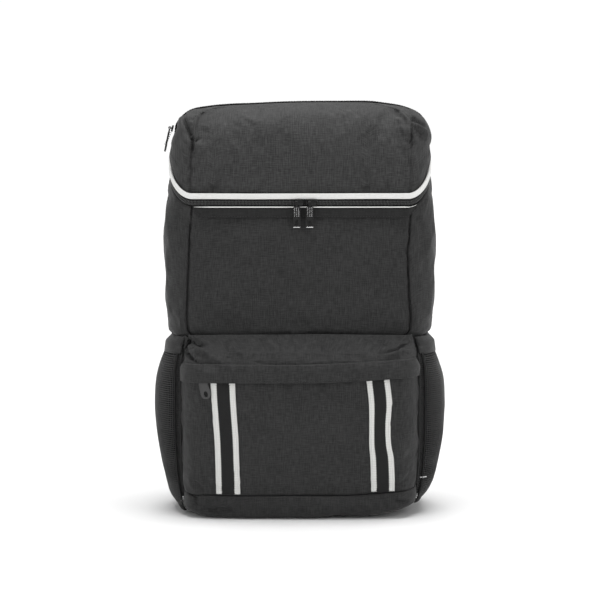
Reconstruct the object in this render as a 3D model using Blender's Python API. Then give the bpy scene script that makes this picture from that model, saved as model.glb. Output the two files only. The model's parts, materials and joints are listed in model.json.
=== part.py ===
"""Cooler backpack: padded wall panels under a zipped, domed lid, with a front pocket,
two ribbons, mesh side pockets, a padded back and two shoulder straps.

Metres, +Z up. The front faces -Y and the wearer's side +Y. The origin is on the
floor, under the middle of the base.
"""

import math
from collections import namedtuple
from functools import lru_cache

import bmesh
import bpy
from mathutils import Matrix, Vector

# Clearance between pieces that touch, and the thickness of plain cloth and webbing
GAP = 0.0004
CLOTH = 0.0020
WEBBING = 0.0014

# Overall size
HEIGHT = 0.440
BODY_WIDTH = 0.290
BODY_DEPTH = 0.122
BACK_Y = 0.072
FRONT_Y = BACK_Y - BODY_DEPTH

# Main compartment: padded walls with rounded upright corners
WALL = 0.005
FRONT_CORNER = 0.029
BACK_CORNER = 0.018
FRONT_BOW = 0.003
SIDE_BOW = 0.002
BOTTOM_ROUND = 0.008
SIDE_SPLIT_Z = 0.187
LOWER_ROWS = 8
LOWER_CROWDING = 1.6
UPPER_ROWS = 9
UPPER_CROWDING = 1.3

# Base panel: a floor with a lip that wraps up in front
BASE_FLOOR = 0.005
BASE_LIP = 0.025
BASE_LIP_RISE = 0.010
BASE_ROUND = 0.011

# Zip line round the lid: level in front, rising over the sides to the back
LID_FRONT_DROP = 0.104
LID_BACK_DROP = 0.055
ZIP_FRONT_Z = HEIGHT - LID_FRONT_DROP
ZIP_BACK_Z = HEIGHT - LID_BACK_DROP
ZIP_CLIMB = 4.5
ZIP_CHAIN = 0.0064
ZIP_THICK = 0.0018
PIPING = 0.0062
PIPING_OUT = 0.0024
THIN_PIPING = 0.0012
FACING = 0.0105
FACING_THICK = 0.0010

# Lid: a domed padded shell
LID_SIDE_STEP = 0.0045
LID_WIDTH = BODY_WIDTH - 2 * LID_SIDE_STEP
LID_WIDEST_DROP = 0.053
LID_WIDEST_Z = HEIGHT - LID_WIDEST_DROP
LID_CROWN_Y = 0.018
LID_CORNER = 0.026
LID_PINCH = 0.0015
LID_TUCK = 0.0045
LID_TUCK_REACH = 0.0160
LID_FLAT = 0.0010
LID_FRONT_POWER = 2.4
LID_SIDE_POWER = 4.0
LID_BACK_POWER = 3.0

# Zip of the flat pocket in the lid, running over the crown from side to side
CROWN_ZIP_WIDTH = 0.020
CROWN_ZIP_THICK = 0.0012
CROWN_ZIP_DROP = 0.036
CROWN_ZIP_END_Z = HEIGHT - CROWN_ZIP_DROP

# Front pocket, its flap and its zip
POCKET_WIDTH = 0.250
POCKET_DEPTH = 0.034
POCKET_TOP_Z = 0.193
POCKET_CORNER = 0.022
POCKET_BOW = 0.003
POCKET_ROOT_GAP = 0.0010
FLAP_TOP_Z = 0.165
FLAP_LOW_Z = 0.1457
FLAP_RISE = 0.006
FLAP_THICK = 0.0016
POCKET_ZIP_Z = 0.1565
POCKET_ZIP_HEIGHT = 0.008
POCKET_ZIP_THICK = 0.0008
POCKET_SLIDER_THICK = 0.0010
TAB_THICK = 0.0010
FLAP_STANDOFF = POCKET_ZIP_THICK + POCKET_SLIDER_THICK + TAB_THICK + 5 * GAP

# Ribbons down the front pocket; each leans a little, as sewn
RIBBON_WIDTH = 0.025
RIBBON_THICK = 0.0010
RIBBON_TUCK = 0.0020

# Mesh side pockets and their hems
MESH_THICK = 0.0012
MESH_BACK_Y = 0.050
HEM_TOP_Z = 0.1850
HEM_HEIGHT = 0.0125
HEM_THICK = 0.0018
HEM_OUT = 0.1440
MESH_LOW_Z = 0.0045

# Zip sliders and their pulls
SLIDER_LENGTH = 0.0104
SLIDER_HEIGHT = 0.0074
SLIDER_THICK = 0.0020
BAIL_WIRE = 0.0005
BAIL_SPAN = 0.0082
PULL_WIDTH = 0.0085
PULL_LENGTH = 0.0265
PULL_THICK = 0.0016
PULL_EYE = 0.0010
PULL_EYE_WALL = 0.0007
PULL_EYE_WIDTH = 0.0026
BAIL_REACH = SLIDER_THICK + PULL_EYE + PULL_EYE_WALL + GAP
PULL_SLOT_WIDTH = 0.0038
PULL_SLOT_LENGTH = 0.0060
PULL_RIM = 0.0020
PULL_NECK = 0.0012
PULL_SHOULDER = 0.0024
LEFT_SLIDER_X = -0.0011
RIGHT_SLIDER_X = 0.0127
PULL_SHIFT = -0.0024
CROWN_SLIDER_DROP = 0.029
CROWN_SLIDER_Z = HEIGHT - CROWN_SLIDER_DROP
CROWN_PULL_LEAN = 12.0

# Pull of the front pocket, hanging out from under the flap
TAB_WIDTH = 0.0105
TAB_LENGTH = 0.0295
TAB_X = -0.0990
TAB_LEAN = 14.0
TAB_EYE_RIM = 0.0030
TAB_HOLE_WIDTH = 0.0044
TAB_HOLE_HEIGHT = 0.0065

# Padded back, shoulder straps and grab handle
PAD_THICK = 0.009
PAD_WIDTH = 0.220
PAD_LOW_Z = 0.030
PAD_TOP_DROP = 0.007
PAD_TOP_Z = ZIP_BACK_Z - PAD_TOP_DROP
SPINE_WIDTH = 0.022
SPINE_DEPTH = 0.005
YOKE_WIDTH = 0.180
YOKE_HEIGHT = 0.012
STRAP_WIDTH = 0.056
STRAP_THICK = 0.010
STRAP_TOP_X = 0.059
STRAP_SPLAY = 0.039
STRAP_BOW = 0.0285
STRAP_DROP = 0.2325
WEB_WIDTH = 0.025
WEB_SEAM_RISE = 0.006
WEB_SEAM = 0.020
WEB_TAIL = 0.058
HANDLE_SPAN = 0.066
HANDLE_RISE = 0.030
HANDLE_WIDTH = 0.020
HANDLE_THICK = 0.0030
ADJUSTER_WIDTH = 0.034
ADJUSTER_THICK = 0.0036
ADJUSTER_BAR = 0.0036
ADJUSTER_SLOT = 0.0062
ADJUSTER_DROP = 0.010

# Segments of half the plan outline, from the back's middle to the front's middle
SEGMENTS = {"back": 3, "back_corner": 3, "side": 5, "front_corner": 5, "front": 5}
SIDE_CROWDING = 1.5

BodyRow = namedtuple("BodyRow", "height width corner setback")
BODY_ROWS = (
    BodyRow(0.000, 0.850, 0.95, 0.040),
    BodyRow(0.035, 0.885, 0.95, 0.030),
    BodyRow(0.080, 0.915, 0.95, 0.020),
    BodyRow(0.200, 0.925, 0.95, 0.015),
    BodyRow(0.426, 0.925, 0.95, 0.010),
    BodyRow(0.448, 0.970, 1.00, 0.004),
    BodyRow(0.490, 0.988, 1.00, 0.000),
    BodyRow(0.560, 1.000, 1.00, 0.000),
    BodyRow(0.670, 1.000, 1.00, 0.000),
    BodyRow(0.730, 0.985, 0.96, 0.010),
    BodyRow(0.780, 0.968, 0.91, 0.020),
    BodyRow(0.840, 0.950, 0.89, 0.025),
    BodyRow(1.000, 0.940, 0.88, 0.030),
)

PocketRow = namedtuple("PocketRow", "height depth width")
POCKET_ROWS = (
    PocketRow(0.00, 0.88, 0.985),
    PocketRow(0.12, 0.96, 0.995),
    PocketRow(0.35, 1.00, 1.000),
    PocketRow(0.80, 1.00, 1.000),
    PocketRow(0.85, 0.97, 0.990),
    PocketRow(0.90, 0.82, 0.980),
    PocketRow(0.95, 0.52, 0.965),
    PocketRow(1.00, 0.16, 0.950),
)

POCKET_SHARES = (0.0, 0.12, 0.25, 0.40, 0.60, 0.80, 0.85, 0.89, 0.93, 0.965, 1.0)

MeshRow = namedtuple("MeshRow", "height reach")
MESH_ROWS = (
    MeshRow(0.00, 0.900),
    MeshRow(0.14, 0.950),
    MeshRow(0.30, 1.025),
    MeshRow(0.48, 1.075),
    MeshRow(0.64, 1.088),
    MeshRow(0.80, 1.070),
    MeshRow(0.92, 1.020),
    MeshRow(1.00, 0.986),
)

# Dents in the front view: across and up are shares of the half width and the height
Dent = namedtuple("Dent", "across up tilt length width depth")
DENT_DEPTH = 0.0030
LID_DENTS = (
    Dent(-0.72, 0.900, 62.0, 0.10, 0.040, 1.0),
    Dent(-0.60, 0.795, 10.0, 0.12, 0.040, 0.7),
    Dent(0.42, 0.800, 80.0, 0.10, 0.060, 0.8),
    Dent(0.70, 0.905, -20.0, 0.10, 0.035, 0.6),
)
BODY_DENTS = (
    Dent(-0.45, 0.500, 12.0, 0.40, 0.060, 0.9),
    Dent(0.40, 0.490, -10.0, 0.45, 0.060, 0.8),
    Dent(-0.50, 0.640, 75.0, 0.20, 0.080, 0.5),
)
POCKET_DENTS = (
    Dent(-0.80, 0.405, -25.0, 0.12, 0.055, 1.0),
    Dent(0.70, 0.420, 14.0, 0.16, 0.050, 0.9),
    Dent(0.02, 0.250, 6.0, 0.34, 0.110, 0.5),
    Dent(-0.82, 0.100, -40.0, 0.13, 0.060, 0.8),
)

# Middles of the ribbons' ends, as shares of the pocket's half width
RibbonRow = namedtuple("RibbonRow", "name top low")
RIBBONS = (
    RibbonRow("ribbon_left", -0.640, -0.605),
    RibbonRow("ribbon_right", 0.649, 0.693),
)

# Centre line of one padded shoulder strap: shares of its splay, its bow off the back, its
# drop from the top end and its full width
StrapRow = namedtuple("StrapRow", "out off down width")
STRAP_ROWS = (
    StrapRow(0.000, -0.035, 0.000, 0.80),
    StrapRow(0.026, 0.333, 0.032, 0.88),
    StrapRow(0.077, 0.667, 0.131, 0.96),
    StrapRow(0.205, 0.930, 0.295, 1.00),
    StrapRow(0.410, 1.000, 0.497, 1.00),
    StrapRow(0.667, 0.877, 0.690, 0.94),
    StrapRow(0.872, 0.614, 0.862, 0.84),
    StrapRow(1.000, 0.368, 1.000, 0.70),
)


def smooth_row(rows, height):
    """The row at a height share, eased between the rows of a table."""
    height = min(max(height, rows[0].height), rows[-1].height)
    for low, high in zip(rows, rows[1:]):
        if height <= high.height:
            share = (height - low.height) / (high.height - low.height)
            eased = 0.5 * share + 0.5 * share * share * (3 - 2 * share)
            return type(low)(*(a + (b - a) * eased for a, b in zip(low, high)))
    return rows[-1]


def dent_depth(dents, point):
    """How far a surface point is pressed in by the dents of its panel."""
    total = 0.0
    for dent in dents:
        across = point.x - dent.across * BODY_WIDTH / 2
        up = point.z - dent.up * HEIGHT
        turn = math.radians(dent.tilt)
        along = across * math.cos(turn) + up * math.sin(turn)
        aside = up * math.cos(turn) - across * math.sin(turn)
        reach = (along / (dent.length * BODY_WIDTH)) ** 2 + (aside / (dent.width * BODY_WIDTH)) ** 2
        total += dent.depth * DENT_DEPTH * math.exp(-reach)
    return total


Outline = namedtuple("Outline", "half front back front_corner back_corner front_bow side_bow")
Station = namedtuple("Station", "edge side share")


def half_outline(side, edges=("back", "back_corner", "side", "front_corner", "front")):
    """Stations of one half of the plan outline along some of its edges, both ends included."""
    stations = [Station(edges[0], side, 0.0)]
    for edge in edges:
        power = SIDE_CROWDING if edge == "side" else 1.0
        left = [(1 - (i + 1) / SEGMENTS[edge]) ** power for i in range(SEGMENTS[edge])]
        stations += [Station(edge, side, 1 - rest) for rest in left]
    return stations


def whole_outline():
    """Stations of the closed outline: back middle, left side, front middle, right side."""
    left = half_outline(-1)
    right = half_outline(1)
    return left + right[-2:0:-1]


def front_run(edges):
    """Stations from the left end of some edges round the front to their right end."""
    left = half_outline(-1, edges)
    return left + half_outline(1, edges)[-2::-1]


def back_run():
    """Stations of the back edge from left to right."""
    return half_outline(-1, ("back",))[:0:-1] + half_outline(1, ("back",))


def outline_point(shape, station, inset=0.0):
    """Plan point (x, y) of a station on a rounded rectangle, moved inwards by inset."""
    half = shape.half - inset
    front = shape.front + inset
    back = shape.back - inset
    front_r = max(shape.front_corner - inset, 0.001)
    back_r = max(shape.back_corner - inset, 0.001)
    share = station.share
    turn = share * math.pi / 2
    if station.edge == "back":
        x, y = share * (half - back_r), back
    elif station.edge == "back_corner":
        x = half - back_r + back_r * math.sin(turn)
        y = back - back_r + back_r * math.cos(turn)
    elif station.edge == "side":
        x = half + shape.side_bow * 4 * share * (1 - share)
        y = back - back_r + share * (front + front_r - back + back_r)
    elif station.edge == "front_corner":
        x = half - front_r + front_r * math.cos(turn)
        y = front + front_r - front_r * math.sin(turn)
    else:
        x = (1 - share) * (half - front_r)
        y = front - shape.front_bow * (1 - (1 - share) ** 2)
    return station.side * x, y


def body_shape(z):
    """Plan outline of the main compartment at a height."""
    row = smooth_row(BODY_ROWS, z / HEIGHT)
    return Outline(
        BODY_WIDTH / 2 * row.width,
        FRONT_Y + BODY_DEPTH * row.setback,
        BACK_Y,
        FRONT_CORNER * row.corner,
        BACK_CORNER,
        FRONT_BOW,
        SIDE_BOW,
    )


def body_point(station, z, inset=0.0):
    """Point of the main compartment's surface, inset along the plan."""
    rise = z - BASE_FLOOR - GAP
    if rise < BOTTOM_ROUND:
        lift = BOTTOM_ROUND - max(rise, 0.0)
        inset += BOTTOM_ROUND - math.sqrt(BOTTOM_ROUND**2 - lift**2)
    point = Vector((*outline_point(body_shape(z), station, inset), z))
    if station.edge == "front":
        point.y += dent_depth(BODY_DENTS, point)
    return point


def body_front_y(x, z):
    """Where the front or the rounded corner of the compartment lies at a given x."""
    shape = body_shape(z)
    flat = shape.half - shape.front_corner
    if abs(x) <= flat:
        return shape.front - shape.front_bow * (1 - (x / flat) ** 2)
    across = min((abs(x) - flat) / shape.front_corner, 1.0)
    return shape.front + shape.front_corner * (1 - math.sqrt(1 - across**2))


def zip_z(station):
    """Height of the zip line at a station: it climbs with the distance from the front."""
    y = outline_point(body_shape(ZIP_FRONT_Z), station)[1]
    depth = max(y - body_shape(ZIP_FRONT_Z).front, 0.0) / BODY_DEPTH
    return ZIP_FRONT_Z + (ZIP_BACK_Z - ZIP_FRONT_Z) * (1 - math.exp(-ZIP_CLIMB * depth))


def wall_top(station):
    """Top edge of the wall panels: under the zip chain, or under the lid behind."""
    return zip_z(station) - ZIP_CHAIN - 2 * GAP


def lid_rim(station):
    """Bottom edge of the lid, above the piping."""
    return zip_z(station) + PIPING + 2 * GAP


def superellipse(rise, power):
    """How wide a rounded profile still is at a share of its height."""
    return max(1 - min(max(rise, 0.0), 1.0) ** power, 0.0) ** (1 / power)


def lid_half(z, side):
    """Half width of the lid at a height; the slider's weight tucks its left side in."""
    rise = (z - LID_WIDEST_Z) / (HEIGHT + LID_FLAT - LID_WIDEST_Z)
    tuck = LID_TUCK * math.exp(-(((z - CROWN_SLIDER_Z) / LID_TUCK_REACH) ** 2)) if side < 0 else 0.0
    return LID_WIDTH / 2 * superellipse(rise, LID_SIDE_POWER) - tuck


def lid_shape(z, side):
    """Plan outline of the lid at a height."""
    crown = HEIGHT + LID_FLAT
    front_low = ZIP_FRONT_Z + PIPING
    back_low = ZIP_BACK_Z + PIPING
    front = superellipse((z - front_low) / (crown - front_low), LID_FRONT_POWER)
    back = superellipse((z - back_low) / (crown - back_low), LID_BACK_POWER)
    top = min(max((z - LID_WIDEST_Z) / (HEIGHT - LID_WIDEST_Z), 0.0), 1.0)
    return Outline(
        lid_half(z, side),
        LID_CROWN_Y - (LID_CROWN_Y - body_shape(ZIP_FRONT_Z).front) * front,
        LID_CROWN_Y + (BACK_Y - LID_CROWN_Y) * back,
        LID_CORNER * (1 - 0.5 * top),
        BACK_CORNER * (1 - 0.3 * top),
        FRONT_BOW * (1 - top),
        SIDE_BOW * (1 - top),
    )


def lid_side_x(z, side):
    """Where the side of the lid lies in the plane of its crown."""
    shape = lid_shape(z, side)
    back_y = shape.back - shape.back_corner
    corner_y = shape.front + shape.front_corner
    share = (back_y - LID_CROWN_Y) / (back_y - corner_y)
    return outline_point(shape, Station("side", side, share))[0]


def lid_point(station, share, inset=0.0):
    """Point of the lid at a share of the way from its rim, over the walls, to its crown."""
    rim = lid_rim(station)
    z = rim + share * (HEIGHT - rim)
    over = Vector(outline_point(body_shape(rim), station, inset + LID_PINCH))
    dome = Vector(outline_point(lid_shape(z, station.side), station, inset))
    leave = min(share * 4, 1.0)
    point = Vector((*over.lerp(dome, leave * (2 - leave)), z))
    if station.edge == "front":
        point.y += dent_depth(LID_DENTS, point)
    return point


def lip_z(y):
    """Top of the base panel's lip: it rises at the front corners and ends at the sides."""
    corner_y = pocket_shape(0.0).front + POCKET_CORNER
    rise = min(max(1 - (corner_y - y) / POCKET_CORNER, 0.0), 1.0)
    lip = BASE_LIP + BASE_LIP_RISE * rise * rise
    fall = min(max((y - corner_y) / (FRONT_Y - corner_y), 0.0), 1.0)
    return lip + (BASE_FLOOR - lip) * fall


def pocket_shape(share, trim=0.0):
    """Plan outline of the front pocket at a height share, its depth cut by trim."""
    row = smooth_row(POCKET_ROWS, share)
    depth = max(POCKET_DEPTH * row.depth - trim, GAP)
    return Outline(
        POCKET_WIDTH / 2 * row.width - trim,
        FRONT_Y - depth,
        FRONT_Y,
        max(min(POCKET_CORNER, depth * 0.9) - trim, 0.0005),
        0.001,
        FRONT_BOW + POCKET_BOW * row.depth,
        0.0,
    )


def pocket_root_y(share):
    """Where the pocket's sides meet the compartment's rounded corners, at a height share."""
    low_z = BASE_FLOOR + BOTTOM_ROUND
    z = low_z + share * (POCKET_TOP_Z - low_z)
    return body_front_y(pocket_shape(share).half - CLOTH, z) - POCKET_ROOT_GAP


def pocket_foot_z(station):
    """Height of the pocket's foot at a station, just above the base panel's lip."""
    shape = pocket_shape(0.0)
    if station.edge == "side":
        corner_y = shape.front + shape.front_corner
        root_y = pocket_root_y(0.0)
        return lip_z(root_y + station.share * (corner_y - root_y)) + GAP
    return lip_z(outline_point(shape, station)[1]) + GAP


def pocket_point(station, share, inset=0.0):
    """Point of the front pocket: its sides end on the compartment, its foot on the lip."""
    shape = pocket_shape(share, inset)
    low_z = pocket_foot_z(station)
    z = low_z + share * (POCKET_TOP_Z - inset - low_z)
    if station.edge == "side":
        root_y = pocket_root_y(share)
        corner_y = shape.front + shape.front_corner
        y = root_y + station.share * (corner_y - root_y)
        return Vector((station.side * shape.half, y, z))
    point = Vector((*outline_point(shape, station), z))
    if station.edge == "front":
        point.y += dent_depth(POCKET_DENTS, point) * superellipse(abs(point.x) / shape.half, 3)
    return point


@lru_cache(maxsize=None)
def pocket_grid(inset):
    """Rows of points of the front pocket's outer or inner surface, from its foot up."""
    stations = front_run(("side", "front_corner", "front"))
    return [[pocket_point(s, share, inset) for s in stations] for share in POCKET_SHARES]


def pocket_column(station, inset=0.0):
    """Points up the front pocket at any station, read between its own columns."""
    edges = ("side", "front_corner", "front")
    place = sum(SEGMENTS[edge] for edge in edges[: edges.index(station.edge)])
    place += station.share * SEGMENTS[station.edge]
    grid = pocket_grid(inset)
    if station.side > 0:
        place = len(grid[0]) - 1 - place
    index = min(int(place), len(grid[0]) - 2)
    return [row[index].lerp(row[index + 1], place - index) for row in grid]


def on_pocket(station, z, offset=0.0):
    """Point in front of the front pocket's surface at a height, offset outwards."""
    outer = pocket_column(station)
    inner = pocket_column(station, CLOTH)
    level = max(i for i, point in enumerate(outer[:-1]) if point.z <= z or i == 0)
    share = (z - outer[level].z) / (outer[level + 1].z - outer[level].z)
    point = outer[level].lerp(outer[level + 1], share)
    behind = inner[level].lerp(inner[level + 1], share)
    outwards = Vector((point.x - behind.x, point.y - behind.y, 0.0)).normalized()
    return Vector((point.x, point.y, z)) + outwards * offset


def pocket_share(z):
    """Height share of the front pocket's corners at a height."""
    low_z = pocket_foot_z(Station("front_corner", 1, 0.0))
    return min(max((z - low_z) / (POCKET_TOP_Z - low_z), 0.0), 1.0)


def front_station(shape, x):
    """Station on the front edge or the front corners of an outline at a given x."""
    side = -1 if x < 0 else 1
    flat = shape.half - shape.front_corner
    if abs(x) <= flat:
        return Station("front", side, 1 - abs(x) / flat)
    across = min((abs(x) - flat) / shape.front_corner, 1.0)
    return Station("front_corner", side, math.acos(across) / (math.pi / 2))


def material(name, colour, roughness, metallic=0.0):
    """A plain finish from an sRGB hex colour."""
    made = bpy.data.materials.get(name) or bpy.data.materials.new(name)
    made.use_nodes = True
    levels = [int(colour[i : i + 2], 16) / 255 for i in (0, 2, 4)]
    linear = [v / 12.92 if v <= 0.04045 else ((v + 0.055) / 1.055) ** 2.4 for v in levels]
    surface = made.node_tree.nodes["Principled BSDF"]
    surface.inputs["Base Color"].default_value = (*linear, 1.0)
    surface.inputs["Roughness"].default_value = roughness
    surface.inputs["Metallic"].default_value = metallic
    made.diffuse_color = (*linear, 1.0)
    return made


def add_object(name, mesh_data, finish):
    """Link a finished mesh to the scene as one named object."""
    bmesh.ops.recalc_face_normals(mesh_data, faces=mesh_data.faces)
    mesh = bpy.data.meshes.new(name)
    mesh_data.to_mesh(mesh)
    mesh_data.free()
    mesh.materials.append(finish)
    mesh.shade_smooth()
    mesh.set_sharp_from_angle(angle=math.radians(35))
    made = bpy.data.objects.new(name, mesh)
    bpy.context.scene.collection.objects.link(made)
    return made


def skin(mesh_data, first, second, closed):
    """Quads between two lines of vertices."""
    count = len(first)
    for i in range(count if closed else count - 1):
        j = (i + 1) % count
        mesh_data.faces.new((first[i], first[j], second[j], second[i]))


def slab(name, outer, inner, finish):
    """A curved sheet with thickness: an outer and an inner grid joined round their edges."""
    mesh_data = bmesh.new()
    front = [[mesh_data.verts.new(p) for p in row] for row in outer]
    rear = [[mesh_data.verts.new(p) for p in row] for row in inner]
    for grid in (front, rear):
        for low, high in zip(grid, grid[1:]):
            skin(mesh_data, low, high, False)
    for edge in (0, -1):
        skin(mesh_data, front[edge], rear[edge], False)
        skin(mesh_data, [r[edge] for r in front], [r[edge] for r in rear], False)
    return add_object(name, mesh_data, finish)


def cup(name, outer, inner, finish):
    """A hollow vessel from closed rings, each wall running from its closed end to the mouth."""
    mesh_data = bmesh.new()
    walls = [[[mesh_data.verts.new(p) for p in ring] for ring in rings] for rings in (outer, inner)]
    for rings in walls:
        for low, high in zip(rings, rings[1:]):
            skin(mesh_data, low, high, True)
        mesh_data.faces.new(rings[0])
    skin(mesh_data, walls[0][-1], walls[1][-1], True)
    return add_object(name, mesh_data, finish)


def loft(name, sections, finish):
    """A bar skinned through closed sections, with flat ends."""
    mesh_data = bmesh.new()
    rings = [[mesh_data.verts.new(p) for p in section] for section in sections]
    for low, high in zip(rings, rings[1:]):
        skin(mesh_data, low, high, True)
    mesh_data.faces.new(rings[0])
    mesh_data.faces.new(rings[-1])
    return add_object(name, mesh_data, finish)


def trim_sides(grid):
    """Draw the first and last columns of a grid in by half a gap, for the next panel."""
    for row in grid:
        row[0] += (row[1] - row[0]).normalized() * GAP / 2
        row[-1] += (row[-2] - row[-1]).normalized() * GAP / 2
    return grid


def levels(low, high, count, bias=1.0):
    """Evenly or unevenly spaced values from low to high."""
    return [low + (high - low) * (i / (count - 1)) ** bias for i in range(count)]


def wall_heights(station):
    """Heights of the panels' rows at a station: up to the side split, and from there to the zip."""
    low = levels(BASE_FLOOR + GAP, SIDE_SPLIT_Z, LOWER_ROWS, LOWER_CROWDING)
    return low, levels(SIDE_SPLIT_Z + GAP, wall_top(station), UPPER_ROWS, UPPER_CROWDING)


def wall_panel(name, stations, parts, finish):
    """One padded wall panel over the lower rows, the upper rows or both."""
    grids = []
    for inset in (0.0, WALL):
        columns = []
        for station in stations:
            heights = wall_heights(station)
            chosen = [z for part in parts for z in heights[part]]
            columns.append([body_point(station, z, inset) for z in chosen])
        grids.append(trim_sides([list(row) for row in zip(*columns)]))
    return slab(name, *grids, finish)


def build_walls(cloth):
    """Front, sides and back of the main compartment, as separate padded panels."""
    wall_panel("front_panel", front_run(("front",)), (0, 1), cloth)
    wall_panel("back_wall", back_run(), (0, 1), cloth)
    corner = half_outline(-1, ("back_corner", "side", "front_corner"))
    for side, word in ((-1, "left"), (1, "right")):
        run = [Station(s.edge, side, s.share) for s in corner]
        wall_panel(f"side_lower_{word}", run, (0,), cloth)
        wall_panel(f"side_upper_{word}", run, (1,), cloth)


def base_outline(shape):
    """Stations of the base panel, with one at each side where its lip has come down."""
    corner_y = shape.front + shape.front_corner
    back_y = shape.back - shape.back_corner
    landing = (back_y - FRONT_Y) / (back_y - corner_y)
    shares = [0.33 * landing, 0.66 * landing, landing, 1.0]
    halves = []
    for side in (-1, 1):
        half = half_outline(side, ("back", "back_corner"))
        half += [Station("side", side, share) for share in shares]
        halves.append(half + half_outline(side, ("front_corner", "front"))[1:])
    return halves[0] + halves[1][-2:0:-1]


def build_base(cloth):
    """Base panel: a floor rounded at its edge, with the lip that wraps up in front."""
    foot = pocket_shape(0.0)
    shape = foot._replace(back=BACK_Y, back_corner=BACK_CORNER)
    stations = base_outline(shape)

    def ring(inset, rise=None):
        made = []
        for station in stations:
            top = lip_z(outline_point(shape, station)[1])
            height = top if rise is None else min(rise, top)
            made.append(Vector((*outline_point(shape, station, inset), height)))
        return made

    outer = [
        ring(BASE_ROUND, 0.0),
        ring(BASE_ROUND * 0.45, BASE_ROUND * 0.10),
        ring(BASE_ROUND * 0.10, BASE_ROUND * 0.36),
        ring(0.0),
    ]
    inner = [
        ring(BASE_ROUND, BASE_FLOOR - GAP),
        ring(CLOTH * 2, BASE_FLOOR - GAP),
        ring(CLOTH),
    ]
    return cup("base_panel", outer, inner, cloth)


def build_lid(cloth):
    """Domed padded lid, open below."""
    stations = whole_outline()
    rises = [math.sin(math.radians(90 * i / 9)) for i in range(10)]
    outer = [[lid_point(s, rise) for s in stations] for rise in reversed(rises)]
    inner = [[lid_point(s, rise, WALL) for s in stations] for rise in reversed(rises)]
    for ring, rise in zip(inner, reversed(rises)):
        for point in ring:
            point.z -= WALL * rise
    return cup("lid_shell", outer, inner, cloth)


def band(name, stations, low, high, inside, outside, finish):
    """A strip along the zip line: height offsets from it, and distances off the wall."""
    sections = []
    for s in stations:
        line = zip_z(s)
        sections.append(
            [
                body_point(s, line + low, -inside),
                body_point(s, line + low, -outside),
                body_point(s, line + high, -outside),
                body_point(s, line + high, -inside),
            ]
        )
    return loft(name, sections, finish)


def build_zip_line(tape, white, cloth):
    """Piping, zip chain, thin piping, facing and the cloth hinge, stacked round the opening."""
    edges = ("back_corner", "side", "front_corner", "front")
    run = front_run(edges)
    front = front_run(("front",))
    band("lid_piping", run, GAP, GAP + PIPING, -CLOTH, PIPING_OUT, white)
    band("lid_zip", run, -ZIP_CHAIN - GAP, -GAP, -WALL / 2, ZIP_THICK - WALL / 4, tape)
    facing_top = -ZIP_CHAIN - 3 * GAP - THIN_PIPING
    facing_out = GAP + FACING_THICK
    band("zip_facing", front, facing_top - FACING, facing_top, GAP, facing_out, tape)
    band(
        "zip_thin_piping",
        front,
        facing_top + GAP,
        facing_top + GAP + THIN_PIPING,
        GAP,
        facing_out + 2 * GAP,
        white,
    )
    low, high = -ZIP_CHAIN - GAP, PIPING + GAP
    sections = []
    for s in back_run():
        line = zip_z(s)
        corners = ((low, WALL / 2), (low, 0.0), (high, 0.0), (high, WALL / 2))
        sections.append([body_point(s, line + up, inset) for up, inset in corners])
    for section, near in ((sections[0], sections[1]), (sections[-1], sections[-2])):
        for point, inward in zip(section, near):
            point += (inward - point).normalized() * GAP
    loft("lid_hinge", sections, cloth)


def build_front_pocket(cloth, tape):
    """Front pocket, its flap and the zip that the flap covers."""
    slab("front_pocket", pocket_grid(0.0), pocket_grid(CLOTH), cloth)

    run = front_run(("front_corner", "front"))[1:-1]
    height = FLAP_TOP_Z - FLAP_LOW_Z
    stand = FLAP_STANDOFF
    profile = ((1.0, 2 * GAP), (0.94, stand * 0.8), (0.8, stand), (0.0, stand))

    def flap_point(station, share, offset):
        across = pocket_point(station, 0.5).x / (POCKET_WIDTH / 2)
        rise = FLAP_RISE * max(across, 0.0) ** 1.5
        return on_pocket(station, FLAP_LOW_Z + rise + share * height, offset)

    outer = [[flap_point(s, share, off + FLAP_THICK) for s in run] for share, off in profile]
    inner = [[flap_point(s, share, off) for s in run] for share, off in profile]
    slab("pocket_flap", outer, inner, cloth)

    zip_run = run[1:-1]
    low, high = POCKET_ZIP_Z - POCKET_ZIP_HEIGHT / 2, POCKET_ZIP_Z + POCKET_ZIP_HEIGHT / 2
    near, far = 2 * GAP, 2 * GAP + POCKET_ZIP_THICK
    corners = ((low, near), (low, far), (high, far), (high, near))
    sections = [[on_pocket(s, z, off) for z, off in corners] for s in zip_run]
    loft("pocket_zip", sections, tape)


def build_ribbons(webbing):
    """Two striped ribbons sewn down the pocket, tucked under the flap and leaning a little."""
    shape = pocket_shape(0.5)
    for ribbon in RIBBONS:
        rise = FLAP_RISE * max(ribbon.top, 0.0) ** 1.5
        top = FLAP_LOW_Z + rise + RIBBON_TUCK
        sections = []
        for share in levels(0.0, 1.0, 10):
            z = BASE_LIP + 2 * GAP + share * (top - BASE_LIP - 2 * GAP)
            centre = POCKET_WIDTH / 2 * (ribbon.low + share * (ribbon.top - ribbon.low))
            near, far = [], []
            for across in (-0.5, 0.0, 0.5):
                station = front_station(shape, centre + across * RIBBON_WIDTH)
                near.append(on_pocket(station, z, 2 * GAP))
                far.append(on_pocket(station, z, 2 * GAP + RIBBON_THICK))
            sections.append(near + far[::-1])
        loft(ribbon.name, sections, webbing)


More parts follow.
